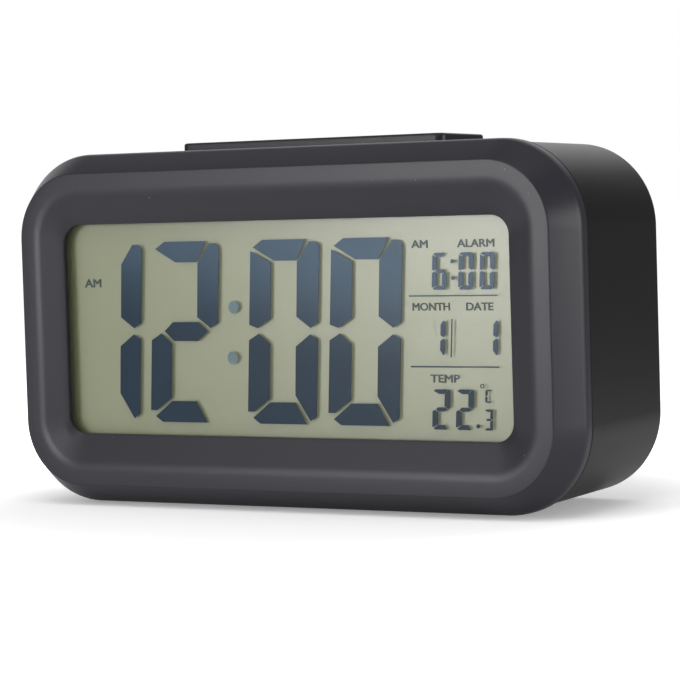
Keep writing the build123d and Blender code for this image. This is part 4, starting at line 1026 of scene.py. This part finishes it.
def make_inner_finishes():
    """Finishes of the solids that keep their own shape, by node name."""
    steel = steel_finish()
    brass = finish_of("buzzer brass", (0.62, 0.47, 0.22), 0.35, fine=2500.0, broad=90.0, relief=0.003, shade=0.15)
    brass.node_tree.nodes["Principled BSDF"].inputs["Metallic"].default_value = 1.0
    board = finish_of("board laminate", (0.020, 0.085, 0.040), 0.40, fine=1800.0, broad=350.0, relief=0.006, shade=0.8)
    resin = finish_of("black resin", (0.010, 0.010, 0.011), 0.22, fine=400.0, broad=90.0, relief=0.02, shade=0.3)
    white = finish_of("white moulding", (0.70, 0.70, 0.68), 0.45, fine=2200.0, broad=45.0, relief=0.004, shade=0.08)
    acrylic = finish_of("guide acrylic", (0.72, 0.76, 0.72), 0.12, fine=1500.0, broad=60.0, relief=0.002, shade=0.06)
    rubber = finish_of("grey rubber", (0.20, 0.20, 0.21), 0.65, fine=1500.0, broad=80.0, relief=0.008, shade=0.2)
    black_rubber = finish_of("gasket rubber", (0.020, 0.020, 0.020), 0.7, fine=1500.0, broad=80.0, relief=0.008)
    seal = finish_of("seal resin", (0.16, 0.17, 0.15), 0.4, fine=900.0, broad=80.0, relief=0.004, shade=0.2)
    ribbon = finish_of("ribbon cover", (0.42, 0.42, 0.43), 0.5, fine=900.0, broad=250.0, relief=0.01, shade=0.25)
    switch = finish_of("switch moulding", (0.030, 0.030, 0.032), 0.4, fine=2200.0, broad=60.0, relief=0.004)
    nodes = {}
    nodes.update(dict.fromkeys(("board_screws", "display_screws", "contact_plates", "quartz_crystal"), steel))
    nodes.update(dict.fromkeys(("button_board", "display_board", "snooze_board"), board))
    nodes.update(dict.fromkeys(("controller_cap", "thermistor"), resin))
    nodes.update(dict.fromkeys(("display_carrier", "backlight_leds", "backlight_sheet"), white))
    nodes.update(dict.fromkeys(("snooze_switch_body", "switch_bodies", "slide_switch_body"), switch))
    plungers = ("snooze_plunger", "mode_plunger", "set_plunger", "up_plunger", "down_plunger")
    nodes.update(dict.fromkeys(plungers, white))
    nodes.update(
        {
            "buzzer": brass,
            "light_guide": acrylic,
            "contact_strips": rubber,
            "lcd_gasket": black_rubber,
            "lcd_seal": seal,
            "ribbon_cable": ribbon,
        }
    )
    return nodes


def lead_finish():
    """Wire cover, red on the right of the clock and black on the left."""
    made = Finish("lead cover", (0.018, 0.018, 0.018), 0.45, fine=1500.0, broad=120.0, relief=0.004)
    made.blend_colour(math_node(made.tree, "GREATER_THAN", made.axis("X"), 0.0), (0.36, 0.025, 0.022))
    return made.material


class CLOCK_OT_inner_parts(bpy.types.Operator):
    """Puts procedural finishes on the solids that keep their own shape"""

    bl_idname = "clock.inner_parts"
    bl_label = "Inner parts"

    def execute(self, context):
        for node, finish in make_inner_finishes().items():
            dress(node, finish)
        leads = lead_finish()
        for node in ("battery_wires", "buzzer_wires", "snooze_wires"):
            dress(node, leads)
        return {"FINISHED"}


# Stage

CAMERA = {"azimuth": 31.33, "elevation": 2.95, "roll": -1.74, "distance": 581.06, "right": 13.76, "up": -2.53}
FOCAL_PIXELS = 2831.67
IMAGE_PIXELS = 680.0
SENSOR = 36.0


def place_camera():
    """Puts the camera at the viewing angle, looking past the crest's centre by its side and height offsets."""
    a, e, roll = (math.radians(CAMERA[k]) for k in ("azimuth", "elevation", "roll"))
    back = Vector((math.sin(a) * math.cos(e), -math.cos(a) * math.cos(e), math.sin(e)))
    right = Vector((math.cos(a), math.sin(a), 0.0))
    up = back.cross(right)
    turned_right = math.cos(roll) * right + math.sin(roll) * up
    turned_up = -math.sin(roll) * right + math.cos(roll) * up
    crest = Vector((0.0, -CLOCK_DEPTH / 2, MID_Z))
    spot = crest + back * CAMERA["distance"] + right * CAMERA["right"] + up * CAMERA["up"]
    data = bpy.data.cameras.new("camera")
    data.sensor_width = SENSOR
    data.lens = SENSOR * FOCAL_PIXELS / IMAGE_PIXELS
    data.clip_start, data.clip_end = 0.01, 50.0
    camera = bpy.data.objects.new("camera", data)
    bpy.context.scene.collection.objects.link(camera)
    turn = Matrix((turned_right, turned_up, back)).transposed()
    camera.matrix_world = Matrix.Translation(spot * MM) @ turn.to_4x4()
    bpy.context.scene.camera = camera


BACKDROP = (-0.51, 0.84, 0.18)
ROOM = 0.12
DOME = 0.5


def seen_white(tree, direction):
    """Shares of white that rays see in a direction: all for the camera and through glass, the backdrop off gloss."""
    toward = tree.nodes.new("ShaderNodeVectorMath")
    toward.operation = "DOT_PRODUCT"
    toward.inputs[1].default_value = BACKDROP
    tree.links.new(direction, toward.inputs[0])
    backdrop = add_node(tree, "ShaderNodeMapRange", From_Min=0.72, From_Max=0.97, To_Min=ROOM, To_Max=1.0)
    backdrop.interpolation_type = "SMOOTHSTEP"
    tree.links.new(toward.outputs["Value"], backdrop.inputs["Value"])
    path = tree.nodes.new("ShaderNodeLightPath")
    seen = math_node(tree, "MAXIMUM", path.outputs["Is Camera Ray"], path.outputs["Is Transmission Ray"])
    gloss = math_node(tree, "MULTIPLY", path.outputs["Is Glossy Ray"], backdrop.outputs[0])
    return math_node(tree, "MAXIMUM", seen, gloss), path


def make_world():
    """A grey dome, white to the camera and through glass; gloss sees a white backdrop in a grey room."""
    world = bpy.data.worlds.new("studio")
    bpy.context.scene.world = world
    world.use_nodes = True
    tree = world.node_tree
    coords = tree.nodes.new("ShaderNodeTexCoord")
    seen, path = seen_white(tree, coords.outputs["Generated"])
    lit = math_node(tree, "SUBTRACT", 1.0, math_node(tree, "MAXIMUM", seen, path.outputs["Is Glossy Ray"]))
    lit = math_node(tree, "MULTIPLY", lit, DOME)
    dome = tree.nodes["Background"]
    dome.inputs["Color"].default_value = (1.0, 1.0, 1.0, 1.0)
    tree.links.new(math_node(tree, "ADD", seen, lit), dome.inputs["Strength"])


TABLE_MIDDLE = (-0.4, -0.75, 0.0)
TABLE_RADIUS = 1.08


def make_floor():
    """A pale round table top in a grey room, with the clock near its far edge.

    It keeps the clock's shadow and shows white to the camera elsewhere.
    """
    reach = 6.0
    steps = np.linspace(-reach, reach, 3)
    x, y = np.meshgrid(steps, steps, indexing="ij")
    points = np.stack([x, y, np.zeros_like(x)], axis=-1)
    floor = put_mesh("floor", points, grid_faces(3, 3, close_columns=False))
    finish = Finish("table white", (0.90, 0.90, 0.90), 0.8, fine=300.0, broad=4.0, relief=0.0, shade=0.02)
    finish.set(Specular_IOR_Level=0.1, Emission_Color=(1.0, 1.0, 1.0, 1.0))
    away = finish.tree.nodes.new("ShaderNodeVectorMath")
    away.operation = "LENGTH"
    finish.tree.links.new(finish.place, away.inputs[0])
    table = finish.tree.nodes.new("ShaderNodeVectorMath")
    table.operation = "DISTANCE"
    table.inputs[1].default_value = TABLE_MIDDLE
    finish.tree.links.new(finish.place, table.inputs[0])
    edge = finish.ramp(table.outputs["Value"], TABLE_RADIUS - 0.15, TABLE_RADIUS + 0.15)
    finish.blend_colour(edge, (ROOM, ROOM, ROOM))
    far = math_node(finish.tree, "MULTIPLY", finish.ramp(away.outputs["Value"], 0.065, 0.125), 0.75)
    lift = math_node(finish.tree, "ADD", far, 0.25)
    outward = finish.tree.nodes.new("ShaderNodeVectorMath")
    outward.operation = "NORMALIZE"
    finish.tree.links.new(finish.place, outward.inputs[0])
    seen, _ = seen_white(finish.tree, outward.outputs[0])
    lift = math_node(finish.tree, "MULTIPLY", seen, lift)
    finish.tree.links.new(lift, finish.shader.inputs["Emission Strength"])
    floor.data.materials.append(finish.material)


LAMPS = (
    ("front soft box", -21.5, 3.8, 900.0, 260.0, 3.2),
    ("fill soft box", 9.0, -1.0, 900.0, 240.0, 0.9),
    ("upper soft box", -31.0, 33.0, 900.0, 260.0, 0.7),
    ("side soft box", 98.0, 4.0, 900.0, 420.0, 3.8),
    ("overhead soft box", 12.0, 64.0, 1300.0, 1000.0, 5.5),
    ("back soft box", 170.0, 50.0, 1000.0, 600.0, 1.2),
)


def make_lamps():
    """Area lamps by azimuth, elevation and distance about the clock's middle, each facing it."""
    middle = Vector((0.0, 0.0, MID_Z * MM))
    for name, azimuth, elevation, distance, side, power in LAMPS:
        a, e = math.radians(azimuth), math.radians(elevation)
        away = Vector((math.sin(a) * math.cos(e), -math.cos(a) * math.cos(e), math.sin(e)))
        data = bpy.data.lights.new(name, "AREA")
        data.shape = "SQUARE"
        data.size = side * MM
        data.energy = power
        lamp = bpy.data.objects.new(name, data)
        lamp.location = middle + away * distance * MM
        lamp.rotation_mode = "QUATERNION"
        lamp.rotation_quaternion = (-away).to_track_quat("-Z", "Y")
        bpy.context.scene.collection.objects.link(lamp)


class CLOCK_OT_stage(bpy.types.Operator):
    """Sets up the camera, the pale floor, the soft lamps and the plain dome"""

    bl_idname = "clock.stage"
    bl_label = "Stage"

    def execute(self, context):
        context.scene.view_settings.view_transform = "Standard"
        place_camera()
        make_world()
        make_floor()
        make_lamps()
        return {"FINISHED"}


class CLOCK_PT_panel(bpy.types.Panel):
    """Sizes, colours and builders of the clock"""

    bl_label = "Desk alarm clock"
    bl_idname = "CLOCK_PT_panel"
    bl_space_type = "VIEW_3D"
    bl_region_type = "UI"
    bl_category = "Clock"

    def draw(self, context):
        for group in (context.scene.clock_sizes, context.scene.clock_colours):
            for name in group.__annotations__:
                self.layout.prop(group, name)
        for operator in OPERATORS:
            self.layout.operator(operator.bl_idname)


OPERATORS = (
    CLOCK_OT_bezel,
    CLOCK_OT_housing,
    CLOCK_OT_keys,
    CLOCK_OT_snooze_bar,
    CLOCK_OT_display,
    CLOCK_OT_legends,
    CLOCK_OT_feet,
    CLOCK_OT_cells,
    CLOCK_OT_springs,
    CLOCK_OT_screws,
    CLOCK_OT_rear_legends,
    CLOCK_OT_inner_parts,
    CLOCK_OT_stage,
)
CLASSES = (ClockSizes, ClockColours, *OPERATORS, CLOCK_PT_panel)


def register():
    """Registers the classes and hangs the settings on the scene."""
    for cls in CLASSES:
        bpy.utils.register_class(cls)
    bpy.types.Scene.clock_sizes = PointerProperty(type=ClockSizes)
    bpy.types.Scene.clock_colours = PointerProperty(type=ClockColours)


def unregister():
    """Takes the settings and the classes away again."""
    del bpy.types.Scene.clock_colours
    del bpy.types.Scene.clock_sizes
    for cls in reversed(CLASSES):
        bpy.utils.unregister_class(cls)


def main():
    register()
    for operator in OPERATORS:
        group, name = operator.bl_idname.split(".")
        getattr(getattr(bpy.ops, group), name)()


if __name__ == "__main__":
    main()
